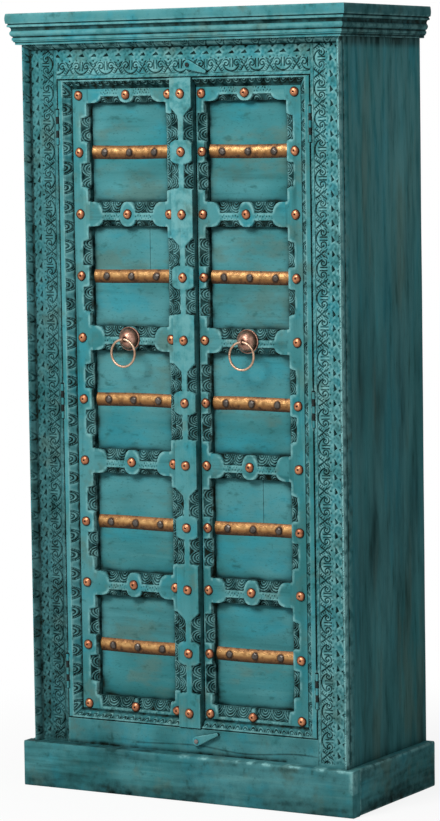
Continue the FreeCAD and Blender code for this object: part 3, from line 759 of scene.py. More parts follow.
def sweep(rings, glaze_and_shade=0.0, wear_and_highlight=0.0, joined=False):
    """A closed skin over a row of closed rings, with a flat cap at each end unless the row joins itself."""
    stations, around = rings.shape[:2]
    index = np.arange(stations * around).reshape(stations, around)
    after = np.roll(index, -1, axis=0) if joined else index[1:]
    before = index if joined else index[:-1]
    corners = [before, after, np.roll(after, -1, axis=1), np.roll(before, -1, axis=1)]
    caps = [] if joined else [list(index[0, ::-1]), list(index[-1])]
    points = rings.reshape(-1, 3)
    quads, caps = outwards(points, np.stack(corners, axis=-1).reshape(-1, 4), caps)
    masks = [np.broadcast_to(mask, (stations, around)).ravel() for mask in (glaze_and_shade, wear_and_highlight)]
    return points, quads, caps, *masks


side_reach = cad_high.x - half_width
front_reach = front_y - cad_low.y
cornice_tall = cad_high.z - body_top
cornice_stations = 40
cornice_step = 0.0007
quirk_depth, quirk_reach = 0.0009, 5
hidden_run = 0.03
cornice_shares = np.concatenate([
    ((-1, 0), (0.38, 0), (0.38, 0.075), (0.50, 0.09), (0.50, 0.125), (0.58, 0.14), (0.58, 0.21)),
    ((0.52, 0.225), (0.52, 0.255), (0.60, 0.27)),
    arc_through((0.60, 0.27), (0.72, 0.36), (0.62, 0.45), 9)[1:],
    arc_through((0.62, 0.45), (0.66, 0.54), (0.87, 0.57), 9)[1:],
    ((0.87, 0.63), (0.81, 0.645), (0.81, 0.67), (0.95, 0.68)),
    arc_through((0.95, 0.68), (1.0, 0.83), (0.95, 0.98), 13)[1:],
    ((0.92, 1.0), (-1, 1.0)),
])
travel = np.hypot(*(np.diff(cornice_shares, axis=0) * (front_reach, cornice_tall)).T)
travel = np.append(0, np.cumsum(travel))
fine = np.arange(0, travel[-1], cornice_step)
profile = np.stack([np.interp(fine, travel, cornice_shares[:, k]) for k in (0, 1)], axis=-1)
level_out = profile[:, :1] * front_reach
swell = (level_out - blurred(level_out, quirk_reach))[:, 0] / quirk_depth
swell[(fine < hidden_run) | (fine > travel[-1] - hidden_run)] = 0
left_out, right_out = (-side_reach, -front_reach), (side_reach, -front_reach)
runs = {
    "cornice_left": ((-half_width, cad_high.y), (-side_reach, 0), (-half_width, front_y), left_out),
    "cornice_front": ((-half_width, front_y), left_out, (half_width, front_y), right_out),
    "cornice_right": ((half_width, front_y), right_out, (half_width, cad_high.y), (side_reach, 0)),
}
for name, ends in runs.items():
    start, start_out, end, end_out = (np.array(point) for point in ends)
    share = np.linspace(0, 1, cornice_stations)[:, None]
    out = start_out + (end_out - start_out) * share
    # The sides carry painted shade, darker on the lower steps, and more pale wear that also paints
    # highlights.
    film_and_shade, rubbed_and_highlight, grain = 0.42 + 0.35 * (1 - profile[:, 1]), 0.6, deep_paint
    if name == "cornice_left":
        out = np.where(share == 1, out, start_out)
    elif name == "cornice_right":
        out = np.where(share == 0, out, end_out)
    else:
        film_and_shade, rubbed_and_highlight, grain = 0.16, 0.45, level_paint
    flat = (start + (end - start) * share)[:, None, :] + profile[None, :, :1] * out[:, None, :]
    height = np.broadcast_to(body_top + profile[None, :, 1:] * cornice_tall, (*flat.shape[:2], 1))
    dark = np.clip(film_and_shade + np.maximum(-1.5 * swell - 0.15, 0), 0, 0.95)
    shell = sweep(np.concatenate([flat, height], axis=-1), dark, np.clip(rubbed_and_highlight * swell, 0, 1))
    piece(name + "_moulded", name, [shell], grain)
dress(level_paint, "cap_boards")


# Butt hinges: three a side, each of two leaves let into the edges and a headed pin.
# Blackened iron, with the leaves on the frame painted over. The black of the door leaves also serves as
# painted shade between the knuckles.
def tarnish_group():
    """Old metal: where it is dull or painted with shade, where it is rubbed or painted bright, how rough it
    is and how it is scratched.
    """
    outputs = dict.fromkeys(("Dull", "Bright", "Roughness", "Height"), "Float")
    group, given = new_group("tarnish", {"Place": "Vector", **mesh_masks}, outputs)
    clouds = noise(group, given["Place"], 85.0, 3.0, 0.6)
    spots = noise(group, given["Place"], 420.0)
    scratches = noise(group, stretched(group, given["Place"], (0.3, 1.0, 2.0)), 500.0)
    cloudy, spotted = ramp(group, clouds, 0.48, 0.72, 0.0, 0.6), ramp(group, spots, 0.58, 0.75, 0.0, 0.5)
    dull = maths(group, "ADD", maths(group, "ADD", cloudy, spotted), given["Glaze_and_shade"])
    dull = shader(group, "Clamp", {"Value": maths(group, "SUBTRACT", dull, given["Wear_and_highlight"])}).outputs[0]
    made = {
        "Dull": dull,
        "Bright": maths(group, "MULTIPLY", given["Wear_and_highlight"], ramp(group, clouds, 0.65, 0.4, 0.3, 1.0)),
        "Roughness": ramp(group, dull, 0.0, 1.0, 0.3, 0.62),
        "Height": maths(group, "ADD", scratches, clouds),
    }
    feed(group, group.nodes.new("NodeGroupOutput"), made)
    return group


tarnish = tarnish_group()


def old_metal(name, clean, dull, bright, metallic, relief):
    """A metal of three colours, mixed by where it is tarnished or painted with shade and where it is rubbed
    or painted with a highlight.
    """
    material, tree, surface, place = new_material(name, Metallic=metallic)
    film_and_shade = layered(tree, tarnish, {"Place": place})
    colour = mixed(tree, film_and_shade["Dull"], srgb(*clean), srgb(*dull))
    colour = mixed(tree, film_and_shade["Bright"], colour, srgb(*bright))
    coat(tree, surface, colour, film_and_shade["Roughness"], film_and_shade["Height"], relief)
    return material


black_iron = old_metal("black_iron", (24, 32, 31), (12, 16, 15), (84, 112, 110), 0.6, 0.0003)
worn_steel = old_metal("worn_steel", (128, 122, 120), (40, 36, 34), (190, 186, 182), 0.6, 0.0003)
for name in ("left", "right"):
    dress(black_iron, name + "_hinge_door_leaves", name + "_hinge_pins")
    dress(upright_paint, name + "_hinge_frame_leaves")
dress(black_iron, "top_button_screw")
dress(worn_steel, "bottom_button_screw")


# Door panels: five thin boards to a door, set in behind the lattice.
# Painted flat and cloudy, with a crack in two of them, painted shade along their edges and glaze smudged into
# their corners.
stile_low, stile_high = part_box("left_door_hinge_stile")
panels_low, panels_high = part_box("left_door_panels")
lattice_y, door_back = stile_low.y, stile_high.y
door_edge, stile_edge = -stile_low.x, -stile_high.x
panel_y, panel_back = panels_low.y, panels_high.y
bar_edge = -panels_high.x
panel_span = stile_edge - bar_edge
panel_middle = (stile_edge + bar_edge) / 2
row_first = door_low + 0.033
row_last = door_high - 0.036
top_bay_shortfall = 0.013
bays = 5
bay_pitch = (row_last - row_first + top_bay_shortfall) / bays
rows = np.append(row_first + bay_pitch * np.arange(bays), row_last)
cross_half = 0.028
bottom_reach = 0.020
top_reach = 0.0175
rail_lows = np.concatenate([[door_low], rows[1:-1] - cross_half, [row_last - top_reach]])
rail_highs = np.concatenate([[row_first + bottom_reach], rows[1:-1] + cross_half, [door_high]])
bay_mids = (rail_highs[:-1] + rail_lows[1:]) / 2
panel_step = 0.003
door_ease = 0.0003
crack_half, crack_depth = 0.0012, 0.0006
smudge_reach = 0.04
panel_paint = painted("turquoise_paint_panel", (paint_grain, 1.0, 1.0), 0.5, (0.5, 1.0, 1.0))
crack_shares = {"left": (0.0, 0.0, 0.0, 0.26, 0.0), "right": (0.0, 0.62, 0.0, 0.0, 0.0)}


def door_piece(side, label, finish, shells, material, sharp=40):
    """A piece that rides a door, in the place of that door's CAD node of the same label."""
    name, node = f"{side}_{label}_{finish}", f"{side}_door_{label}"
    piece(name, node, shells, material, side + "_door", sharp)


for name, sign in sides:
    shells = []
    for low, high, share in zip(rail_highs, rail_lows[1:], crack_shares[name]):
        crack = bar_edge + share * panel_span
        across = (bar_edge, stile_edge, panel_step, crack - crack_half, crack, crack + crack_half)
        x, z = crossed(across, (low, high, panel_step))
        split = cut_line(x - crack, 0.001) * (share > 0) * (z > (low + high) / 2)
        depth = crack_depth * split + 0.0003 * (1 + waver(x, z + 7 * low, 0.14))
        side = np.minimum(x - bar_edge, stile_edge - x)
        end = np.minimum(z - low, high - z)
        corner = np.hypot(*(np.clip(smudge_reach - gap, 0, None) for gap in (side, end)))
        # Painted shade along the edges, where the bars shade the panel, and glaze smudged into the corners.
        edge_shade_and_smudge = 0.4 * fading(np.minimum(side, end), 0, 0.009)
        edge_shade_and_smudge = edge_shade_and_smudge + 0.6 * smooth_step(corner, 0.018, 0.056)
        smudge = 1 + 0.6 * waver(x + 3 * low, z, 0.05)
        clouds = 0.10 * (1 + waver(x - 5 * low, z + 2 * low, 0.11))
        stain_and_shade = np.clip(edge_shade_and_smudge * smudge + clouds, 0, 0.95)
        place = facing(panel_y, sign)
        shells.append(board(x, z, depth, place, panel_back, ease=door_ease, glaze_and_shade=stain_and_shade, rub=0.0))
    door_piece(name, "panels", "painted", shells, panel_paint)


# Brass strips: a rounded strip nailed across the middle of every panel with three iron nails.
# Beaten by hand, so the faces are dimpled, the edges dark with patina and the crest rubbed bright.
# The lower half is darkened further as painted shade, and the crest sits above the middle as a painted
# highlight.
brass = old_metal("beaten_brass", (134, 90, 45), (60, 37, 18), (214, 168, 106), 0.55, 0.0004)
strip_half = 0.031 / 2
strip_rise = panel_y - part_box("left_door_brass_strips")[0].y
strip_gap = 0.0005
strip_stations, strip_lines = 90, 17
dimple_share = 0.13
nail_shares = np.array((0.17, 0.5, 0.83))
stations = np.linspace(bar_edge + strip_gap, stile_edge - strip_gap, strip_stations)
along, lift = np.meshgrid(stations, np.linspace(-1, 1, strip_lines), indexing="ij")
share_along = (along - bar_edge) / panel_span
to_nail = np.abs(share_along[..., None] - nail_shares).min(axis=-1) * panel_span
halo = fading(np.hypot(to_nail, lift * strip_half), 0.0085, 0.0120)
patina_and_underside_shade = 0.8 * fading(lift, -1.0, -0.2) + 0.5 * smooth_step(lift, 0.7, 1.0)
rubbed_crest_and_highlight = 0.85 * fading(np.abs(lift - 0.25), 0.05, 0.55)
for name, sign in sides:
    shells = []
    for middle in bay_mids:
        dimples = 0.5 + 0.5 * waver(along * 2.2, lift * 0.03 + middle, 0.035)
        rise = strip_rise * (1 - lift**2) * (1 - dimple_share * dimples)
        sway = 0.0008 * np.sin(along * 23 + 5 * middle)
        front = np.stack([sign * along, panel_y - rise, middle + lift * strip_half + sway], axis=-1)
        dark = np.clip(patina_and_underside_shade + 0.2 * dimples + 0.7 * halo, 0, 1)
        shells.append(sweep(front, dark, np.clip(rubbed_crest_and_highlight * (1 - 0.5 * dimples) * (1 - halo), 0, 1)))
    door_piece(name, "brass_strips", "beaten", shells, brass)


# Strip nails: hand-forged nails with faceted heads, driven through the strips into the panels.
# Dark iron, rubbed a little on the facets.
def turned(profile, size, centre, around, roughness=0.0, twist=0.0):
    """A shape turned about the line from front to back: rings of a radius at a rise off the face.

    profile gives each ring's radius and rise as shares of size, its glaze and painted shade, and its wear and
    painted highlight. roughness shakes the radius by two sines of the angle.
    """
    angle = np.linspace(0, 2 * np.pi, around, endpoint=False) + twist
    radius, rise, dark, bright = np.array(profile, float).T[:, :, None]
    shake = 1 + roughness * np.sin(3 * angle + 40 * centre[2]) * np.sin(angle + 90 * centre[0])
    x = centre[0] + size[0] * radius * np.cos(angle) * shake
    z = centre[2] + size[0] * radius * np.sin(angle) * shake
    y = np.broadcast_to(centre[1] - size[1] * rise, x.shape)
    return sweep(np.stack([x, y, z], axis=-1), dark, bright)


nail_iron = old_metal("forged_iron", (54, 45, 39), (18, 13, 11), (118, 110, 102), 0.5, 0.0003)
nail_size = (0.0082, 0.0034)
nail_profile = (
    (0.9, -0.35, 0.9, 0), (1.0, 0.05, 0.9, 0), (0.96, 0.35, 0.4, 0.1), (0.62, 0.82, 0.1, 0.5),
    (0.3, 1.0, 0, 0.4),
)
for name, sign in sides:
    shells = []
    for middle in bay_mids:
        for x in sign * (bar_edge + nail_shares * panel_span):
            centre = (x, panel_y - strip_rise, middle)
            twist = 9 * x + middle
            shells.append(turned(nail_profile, nail_size, centre, around=7, roughness=0.12, twist=twist))
    door_piece(name, "strip_nails", "forged", shells, nail_iron, sharp=15)


# Door lattice: stiles and rails halved together over the panels, with plain bosses left under the studs.
# Between the bosses the inner edges are cut back in wide, shallow chamfers of nested petals.
# It is of painted hardwood, with thin glaze on the faces and more in the petals.
# Its walls and the drafts beside the panels carry painted shade, and so, heavily, do the lower chamfers,
# which face down.
bar_chamfer = (0.022, 0.0078)
under_chamfer = (0.015, 0.0088)
upper_chamfer = (0.026, 0.0075)
petal_cut, petal_gap = 0.0022, 0.0046
stop_fall = 0.003
carve_film = 0.5
draft_width, draft_depth = 0.0055, 0.015
tongue, knob = 0.022, 0.021
outer_taper, inner_taper = 0.011, 0.004
lattice_knob = (0.024, 0.016)


def rounded(from_edge, width):
    """A quarter circle's width: 0 at the edge and 1 once the chamfer's width is reached."""
    return np.sqrt(np.clip(1 - (1 - np.clip(from_edge / width, 0, 1)) ** 2, 0, 1))


def chamfer(from_edge, along, size, plain, rows):
    """A chamfer of (width, depth) with petals, stopped where plain, a distance, goes under zero.

    Gives its depth, and 1 where it is carved.
    """
    width, depth = size
    stopped = smooth_step(plain, 0, stop_fall)
    slope = depth * np.clip(1 - from_edge / width, 0, 1)
    cut = slope + petal_cut * petals(from_edge, along, rows, width, petal_gap, 0.8 * width)
    return cut * stopped, stopped * fading(from_edge, width - 0.0014, width + 0.0006)


def lattice_film(across, level):
    """The thin, clouded film of glaze that lies on the plain faces."""
    return 0.09 + 0.05 * waver(across, level, 0.09)


def off_rails(level):
    """How far a level lies outside the rails."""
    return np.min([np.maximum(low - level, level - high) for low, high in zip(rail_lows, rail_highs)], axis=0)


def bulge(from_edge, radius, inset):
    """Half the height of a round knob at a distance from the edge: a circle whose middle is inset from it."""
    return np.sqrt(np.clip(radius**2 - np.clip(inset - from_edge, 0, None) ** 2, 0, None))


def bay_rows(knob_levels):
    """Two petals in each stretch of a stile between a rail's tongue and a knob, or five between tongues."""
    if len(knob_levels) == 0:
        return rail_highs[:-1] + tongue, rail_lows[1:] - tongue, 5
    starts = np.stack([rail_highs[:-1] + tongue, knob_levels + knob], axis=-1).ravel()
    ends = np.stack([knob_levels - knob, rail_lows[1:] - tongue], axis=-1).ravel()
    return starts, ends, 2


def stile_relief(inwards, level, knob_levels, taper):
    """A door stile's face: petals between plain tongues past every rail and round knobs, and a drafted edge.

    Gives the depth and the glaze, which is thin over the petals, and painted shade, which fills the draft.
    """
    plain = [off_rails(level) - tongue - taper * rounded(inwards, bar_chamfer[0])]
    plain += [np.abs(level - middle) - bulge(inwards, *lattice_knob) for middle in knob_levels]
    plain = np.min(np.broadcast_arrays(*plain), axis=0)
    depth, carved = chamfer(inwards, level, bar_chamfer, plain, bay_rows(knob_levels))
    draft = np.clip(1 - inwards / draft_width, 0, 1) * smooth_step(off_rails(level), 0, stop_fall)
    stain_and_shade = np.maximum(carve_film * carved, smooth_step(draft, 0.0, 0.12))
    return np.maximum(depth, draft_depth * draft), np.maximum(stain_and_shade, lattice_film(inwards, level))


border_fillet = 0.013
border_bevel = 0.018
bevel_foot = door_edge - border_fillet - border_bevel
levels = grid_lines(door_low, door_high, run_step, *leaf_stops)
lines = grid_lines(
    stile_edge, bevel_foot + 0.002, cut_step, stile_edge + draft_width, stile_edge + bar_chamfer[0]
)
lines = np.append(lines, [door_edge - leaf_reach, door_edge - leaf_reach / 2, door_edge])
x, z = np.ix_(lines, levels)
depth, stain_and_shade = stile_relief(x - stile_edge, z, bay_mids, outer_taper)
for name, sign in sides:

    def hinge_stile_place(reach, z, d):
        """Reach from the middle, less where the edge is let in for a hinge, and depth in from the lattice."""
        return sign * (reach - leaf_cut(door_edge - reach, z)), lattice_y + d, z

    shell = board(
        x, z, depth, hinge_stile_place, door_back, ease=door_ease, wall=1.0, glaze_and_shade=stain_and_shade, rub=0.0
    )
    door_piece(name, "hinge_stile", "carved", [shell], upright_paint)

edge_relief = 0.005
batten_cover = 0.026
levels = grid_lines(door_low, door_high, run_step)
for name, sign in sides:
    low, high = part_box(name + "_door_meeting_stile")
    meeting = low.x if sign > 0 else -high.x
    start = max(meeting, batten_cover)
    lines = grid_lines(start, bar_edge, cut_step, bar_edge - bar_chamfer[0], bar_edge - draft_width)
    lines = np.union1d(lines, [meeting, meeting + 0.0005, meeting + close_lines])
    x, z = np.ix_(lines, levels)
    knob_levels = bay_mids if name == "right" else np.array([])
    depth, stain_and_shade = stile_relief(bar_edge - x, z, knob_levels, inner_taper)
    place = facing(lattice_y, sign)
    shell = board(x, z, depth, place, door_back, ease=door_ease, wall=1.0, glaze_and_shade=stain_and_shade, rub=0.0)
    edge = np.abs(shell[0][:, 0] - sign * meeting) < 1e-6
    shell[0][edge, 0] += sign * edge_relief * (shell[0][edge, 1] - lattice_y) / (door_back - lattice_y)
    door_piece(name, "meeting_stile", "carved", [shell], upright_paint)

rail_tongue = (0.012, 0.020)
rail_knob = (0.004, 0.015)
knob_side = 0.012
rail_starts = np.array([bar_edge + tongue, panel_middle + knob_side])
rail_ends = np.array([panel_middle - knob_side, stile_edge - tongue])
prick_depth = 0.0009
low_rail_boss, low_rail_film = 0.25, 0.2
upper_film, under_glaze_and_shade = 0.46, 0.8


def rail_relief(x, level, low, high, upper, lower, boss):
    """A rail's face: petals along its upper and lower edges, of the (width, depth) given, and round bosses.

    The strip between is pricked all over. Gives the depth and the glaze, with painted shade heavy along the
    lower edge, which faces down.
    """
    from_end = np.minimum(x - bar_edge, stile_edge - x)
    off_middle = np.abs(x - panel_middle)

    def clear_of_bosses(ending):
        """How far a point is from the bosses at the ends and the middle, which widen as ending rises."""
        ends = from_end - boss * (rail_tongue[0] + rail_tongue[1] * ending)
        return np.minimum(ends, off_middle - boss * (rail_knob[0] + rail_knob[1] * ending))

    pricked = smooth_step(waver(1.7 * x, level, 0.008), 0.1, 0.8)
    pricked = pricked * smooth_step(clear_of_bosses(1.0), 0, stop_fall)
    sunk = prick_depth * pricked
    stain_and_shade = 0.35 * pricked + (low_rail_film if boss < 1 else lattice_film(x, level))
    for edge_gap, size, film_and_shade in ((high - level, upper, upper_film), (level - low, lower, under_glaze_and_shade)):
        if size:
            plain = clear_of_bosses(rounded(edge_gap, size[0]))
            cut, carved = chamfer(edge_gap, x, size, plain, (rail_starts, rail_ends, 2))
            sunk = np.maximum(sunk, cut)
            stain_and_shade = np.maximum(stain_and_shade * (1 - carved), film_and_shade * carved)
    return sunk, stain_and_shade


for name, sign in sides:
    shells = []
    for i, (low, high) in enumerate(zip(rail_lows, rail_highs)):
        x, z = crossed((bar_edge, stile_edge, cut_step), (low, high, cut_step))
        upper = upper_chamfer if i < bays else None
        lower = under_chamfer if i > 0 else None
        depth, stain_and_shade = rail_relief(x, z, low, high, upper, lower, 1.0 if i > 0 else low_rail_boss)
        place = facing(lattice_y, sign)
        shells.append(board(x, z, depth, place, door_back, ease=door_ease, wall=0.92, glaze_and_shade=stain_and_shade, rub=0.0))
    door_piece(name, "bottom_rail", "carved", shells[:1], level_paint)
    door_piece(name, "cross_rails", "carved", shells[1:-1], level_paint)
    door_piece(name, "top_rail", "carved", shells[-1:], level_paint)


# Door border: a moulding planted round the hinge side and both ends of each door, mitred at the corners.
# It is of painted hardwood, with a plain fillet outside and a bevel of petals that falls to the lattice.
# A painted shadow line runs along the gap at its outer edge, and the top end's bevel, which faces down,
# carries painted shade.
bevel_step = 0.0012
bevel_cut = 0.0024
edge_line = 0.0024
fillet_end = 0.004
bevel_end = fillet_end + border_bevel
fall = lattice_y - face_y - under_skin
side_petal, side_reach_out, side_ground = 0.045, 0.0135, 0.15
end_petal, end_reach_out, end_ground = 0.021, 0.0084, 1.0
bevel_film_and_shade = {"side": 0.37, "low": 0.12, "high": 0.68}
mitre_fade = 0.06


def bevel_relief(from_foot, along, row, reach, ground):
    """A bevel that falls away over its run, with a row of petals cut into it, and flat beyond."""
    slope = fall * np.clip(1 - from_foot / border_bevel, 0, 1)
    cuts = petals(border_bevel - from_foot, along, row, border_bevel, border_ring, reach, ground)
    return np.minimum(slope + bevel_cut * cuts, fall)


def bevel_glaze_and_shade(from_foot, from_rim, film_and_shade):
    """Glaze on the bevel, most at its foot and its brow, and a painted shadow line at the door's edge."""
    bevel = film_and_shade * fading(from_foot, border_bevel - 0.002, border_bevel)
    brow = 0.5 * cut_line(from_foot - border_bevel, 0.002) + 0.6 * fading(from_foot, 0, 0.003)
    return bevel + brow + 0.95 * fading(from_rim, edge_line / 2, edge_line)


brow_line = bevel_foot + border_bevel
across = (bevel_foot, door_edge, bevel_step, brow_line, door_edge - leaf_reach, door_edge - edge_line)
x, z = crossed(across, (door_low, door_high, run_step, *hinge_cuts))
petal_row = even_row(door_low, door_high, side_petal)
side_depth = bevel_relief(x - bevel_foot, z, petal_row, side_reach_out, side_ground)
side_depth = hinge_groove(x, z, side_depth)
side_stain_and_shade = bevel_glaze_and_shade(x - bevel_foot, door_edge - x, bevel_film_and_shade["side"]) + hinge_gap_shade(x, z)
gap_lines = (0, bevel_end, bevel_step, edge_line, fillet_end)
for name, sign in sides:

    def side_place(reach, z, d):
        """The side length's points, drawn in at the ends to the mitres, less and less away from them."""
        inset = np.interp(reach, [bevel_foot, brow_line, door_edge], [bevel_end, fillet_end, 0])
        rise = np.clip(1 - (z - door_low) / mitre_fade, 0, 1)
        drop = np.clip(1 - (door_high - z) / mitre_fade, 0, 1)
        return sign * (reach - leaf_cut(door_edge - reach, z)), face_y + d, z + inset * (rise - drop)

    shells = [board(x, z, side_depth, side_place, lattice_y, wall=0.9, glaze_and_shade=side_stain_and_shade, rub=0.0)]
    start = min(abs(corner.x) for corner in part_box(name + "_door_border"))
    reach, gap = crossed((start, door_edge, run_step), gap_lines)
    petal_row = even_row(start, door_edge, end_petal)
    depth = bevel_relief(bevel_end - gap, reach, petal_row, end_reach_out, end_ground)
    for end, way, film_and_shade in ((door_low, 1, bevel_film_and_shade["low"]), (door_high, -1, bevel_film_and_shade["high"])):

        def end_place(reach, gap, d):
            """An end length's points, drawn in to the mitre in proportion as the gap from the end grows."""
            limits = [door_edge, door_edge - border_fillet, bevel_foot]
            limit = np.interp(gap, [0, fillet_end, bevel_end], limits)
            reach = start + (reach - start) * (limit - start) / (door_edge - start)
            return sign * reach, face_y + d, end + way * gap

        stain_and_shade = bevel_glaze_and_shade(bevel_end - gap, gap, film_and_shade)
        shells.append(board(reach, gap, depth, end_place, lattice_y, wall=0.9, glaze_and_shade=stain_and_shade, rub=0.0))
    piece(name + "_door_border_carved", name + "_door_border", shells, upright_paint, name + "_door")


# Astragal: the batten of painted hardwood over the meeting of the doors, nailed to the left one.
# It has long plain bosses under the row studs, pointed below, round ones between, and petals down its edges.
# Its walls are darkened as painted shade.
batten_low, batten_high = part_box("astragal")
batten_half = batten_high.x
batten_chamfer = (0.022, 0.0068)
batten_wear = 0.45
batten_knob = (0.0255, 0.018)
tip_clear = 0.004
boss_up, boss_down = (0.0555, 0.003), (0.051, 0.020)
first_boss_up, last_boss_down = (0.044, 0.003), (0.029, 0.022)
ups = np.array([first_boss_up] + [boss_up] * bays)
downs = np.array([boss_down] * bays + [last_boss_down])
x, z = crossed((-batten_half, batten_half, cut_step), (door_low, door_high, run_step))
from_edge = batten_half - np.abs(x)
widening = np.clip(from_edge / batten_chamfer[0], 0, 1)
outside = [np.abs(z - middle) - bulge(from_edge, *batten_knob) for middle in bay_mids]
for row, up, down in zip(rows, ups, downs):
    above = z - row
    outside.append(np.maximum(above - up[0] - up[1] * widening, -above - down[0] - down[1] * widening))
plain = np.min(np.broadcast_arrays(*outside), axis=0)
starts = np.stack([rows[:-1] + ups[:-1].sum(axis=1), bay_mids + knob], axis=-1).ravel()
ends = np.stack([bay_mids - knob, rows[1:] - downs[1:, 0] - tip_clear], axis=-1).ravel()
depth, carved = chamfer(from_edge, z, batten_chamfer, plain, (starts, ends, 2))
stain_and_shade = carve_film * carved
shell = board(x, z, depth, facing(batten_low.y), batten_high.y, ease=0.0013, wall=0.6, glaze_and_shade=stain_and_shade, rub=0.3)
bloom = batten_wear * smooth_step(shell[0][:, 2], 0.5, 1.4)
shell[4][:] = np.maximum(shell[4], bloom * (shell[3] < 0.3))
piece("astragal_carved", "astragal", [shell], upright_paint, "left_door")


# Studs: domed copper nails at every crossing of the lattice and half-way up the bars.
# Each is struck in the middle, which leaves a small dark dimple. The dome is rubbed bright and carries a
# painted highlight, and its rim is darkened as painted shade.
copper = old_metal("domed_copper", (130, 70, 47), (44, 21, 15), (222, 158, 110), 0.7, 0.0004)
stud_size = (0.0115, 0.007)
stud_profile = (
    (1.0, -0.06, 1.0, 0), (1.0, 0.06, 1.0, 0), (0.97, 0.2, 0.85, 0), (0.88, 0.46, 0.5, 0.1),
    (0.74, 0.68, 0.2, 0.25), (0.56, 0.86, 0.05, 0.5), (0.36, 0.97, 0, 0.6), (0.25, 1.0, 0.15, 0.4),
    (0.17, 0.93, 0.8, 0), (0.1, 0.72, 1.0, 0), (0.04, 0.66, 1.0, 0),
)
outer_studs = door_edge - 0.047
inner_studs = 0.044
ring_row = rows[bays - 2]
stud_levels = (*rows, *bay_mids)
for name, sign in sides:
    places = [(sign * outer_studs, lattice_y, z) for z in stud_levels]
    places += [(sign * panel_middle, lattice_y, z) for z in rows if z != ring_row]
    places += [(sign * inner_studs, lattice_y, z) for z in rows]
    if name == "left":
        places += [(0.0, batten_low.y, z) for z in stud_levels]
    else:
        places += [(inner_studs, lattice_y, z) for z in bay_mids]
    shells = [turned(stud_profile, stud_size, place, around=20, roughness=0.05) for place in places]
    door_piece(name, "studs", "domed", shells, copper)


# Ring pulls: a turned rosette with a staple through its crown, and a wire ring that swings in the staple.
# Old brass gone brown, rubbed to a pale copper where it is handled.
old_brass = old_metal("old_brass", (160, 122, 96), (70, 46, 34), (232, 202, 176), 0.8, 0.0005)
dark_copper = old_metal("dark_copper", (116, 76, 60), (44, 25, 18), (224, 178, 156), 0.8, 0.0005)
rosette_size = (0.0275, 0.024)
rosette_profile = (
    (1.0, 0.0, 1.0, 0), (1.0, 0.08, 0.5, 0.5), (0.97, 0.12, 0.3, 0.5), (0.9, 0.13, 1.0, 0),
    (0.88, 0.2, 0.7, 0), (0.84, 0.36, 0.3, 0.15), (0.76, 0.54, 0.1, 0.4), (0.64, 0.71, 0, 0.6),
    (0.49, 0.86, 0, 0.6), (0.33, 0.96, 0.1, 0.3), (0.2, 1.0, 0.5, 0), (0.06, 1.0, 0.9, 0),
)
eye_height = 0.029
eye_radius, eye_wire = 0.00465, 0.0018
ring_radius, ring_wire = 0.0313, 0.0028


def wire_ring(centre, radius, wire, first, second, around, facets):
    """A round wire bent to a circle: a circle of wire carried round one in the plane of first and second."""
    turn = np.linspace(0, 2 * np.pi, around, endpoint=False)[:, None, None]
    side = np.linspace(0, 2 * np.pi, facets, endpoint=False)[None, :, None]
    first, second = np.array(first, float), np.array(second, float)
    outward_way = np.cos(turn) * first + np.sin(turn) * second
    across_way = np.cos(side) * outward_way + np.sin(side) * np.cross(first, second)
    return np.array(centre) + radius * outward_way + wire * across_way


for name, sign in sides:
    x, eye_y = sign * panel_middle, lattice_y - eye_height
    dome = turned(rosette_profile, rosette_size, (x, lattice_y, ring_row), around=48)
    eye = (x, eye_y, ring_row)
    staple = wire_ring(eye, eye_radius, eye_wire, (0, 1, 0), (0, 0, 1), around=24, facets=10)
    shells = [dome, sweep(staple, glaze_and_shade=0.2, wear_and_highlight=0.3, joined=True)]
    piece(name + "_rosette_turned", name + "_rosette", shells, dark_copper, name + "_door")
    hang = (x, eye_y, ring_row - ring_radius)
    loop = wire_ring(hang, ring_radius, ring_wire, (1, 0, 0), (0, 0, 1), around=64, facets=12)
    shell = sweep(loop, glaze_and_shade=0.1, wear_and_highlight=0.45, joined=True)
    piece(name + "_ring_bent", name + "_ring", [shell], old_brass, name + "_ring")


# Turn buttons: a tapered wooden button on a screw above the doors and another below them.
# Painted with the frame, with rounded arrises and their sides darkened as painted shade.
button_root, button_tip, button_rounding = 0.011, 0.004, 0.0025
top_button = (0.023, opening_top + 0.026, 0.050, -20)
bottom_button = (0.020, opening_bottom - 0.027, 0.060, 20)
button_side_shade = np.array((1, 0.85, 0.1, 0, 0, 0, 0))[:, None]
button_bright = np.array((0, 0, 0.2, 0.6, 0.6, 0.3, 0.1))[:, None]
for node, (x, z, length, angle) in (("top_turn_button", top_button), ("bottom_turn_button", bottom_button)):
    low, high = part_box(node)
    reach = length - button_tip
    slope = math.acos((button_root - button_tip) / reach)
    way = np.linspace(slope, 2 * np.pi - slope, 28)
    tip_way = np.linspace(-slope, slope, 15)
    quarter = np.linspace(0, np.pi / 2, 6)
    inset = np.append(0, button_rounding * (1 - np.cos(quarter)))[:, None]
    face = np.append(high.y, low.y + button_rounding * (1 - np.sin(quarter)))[:, None]
    root, tip = button_root - inset, button_tip - inset
    along = np.concatenate([root * np.cos(way), reach + tip * np.cos(tip_way)], axis=1)
    aside = np.concatenate([root * np.sin(way), tip * np.sin(tip_way)], axis=1)
    turn = math.radians(angle)
    rings = np.stack([
        x + along * math.cos(turn) - aside * math.sin(turn),
        np.broadcast_to(face, along.shape),
        z + along * math.sin(turn) + aside * math.cos(turn),
    ], axis=-1)
    piece(node + "_painted", node, [sweep(rings, button_side_shade, button_bright)], level_paint, node)


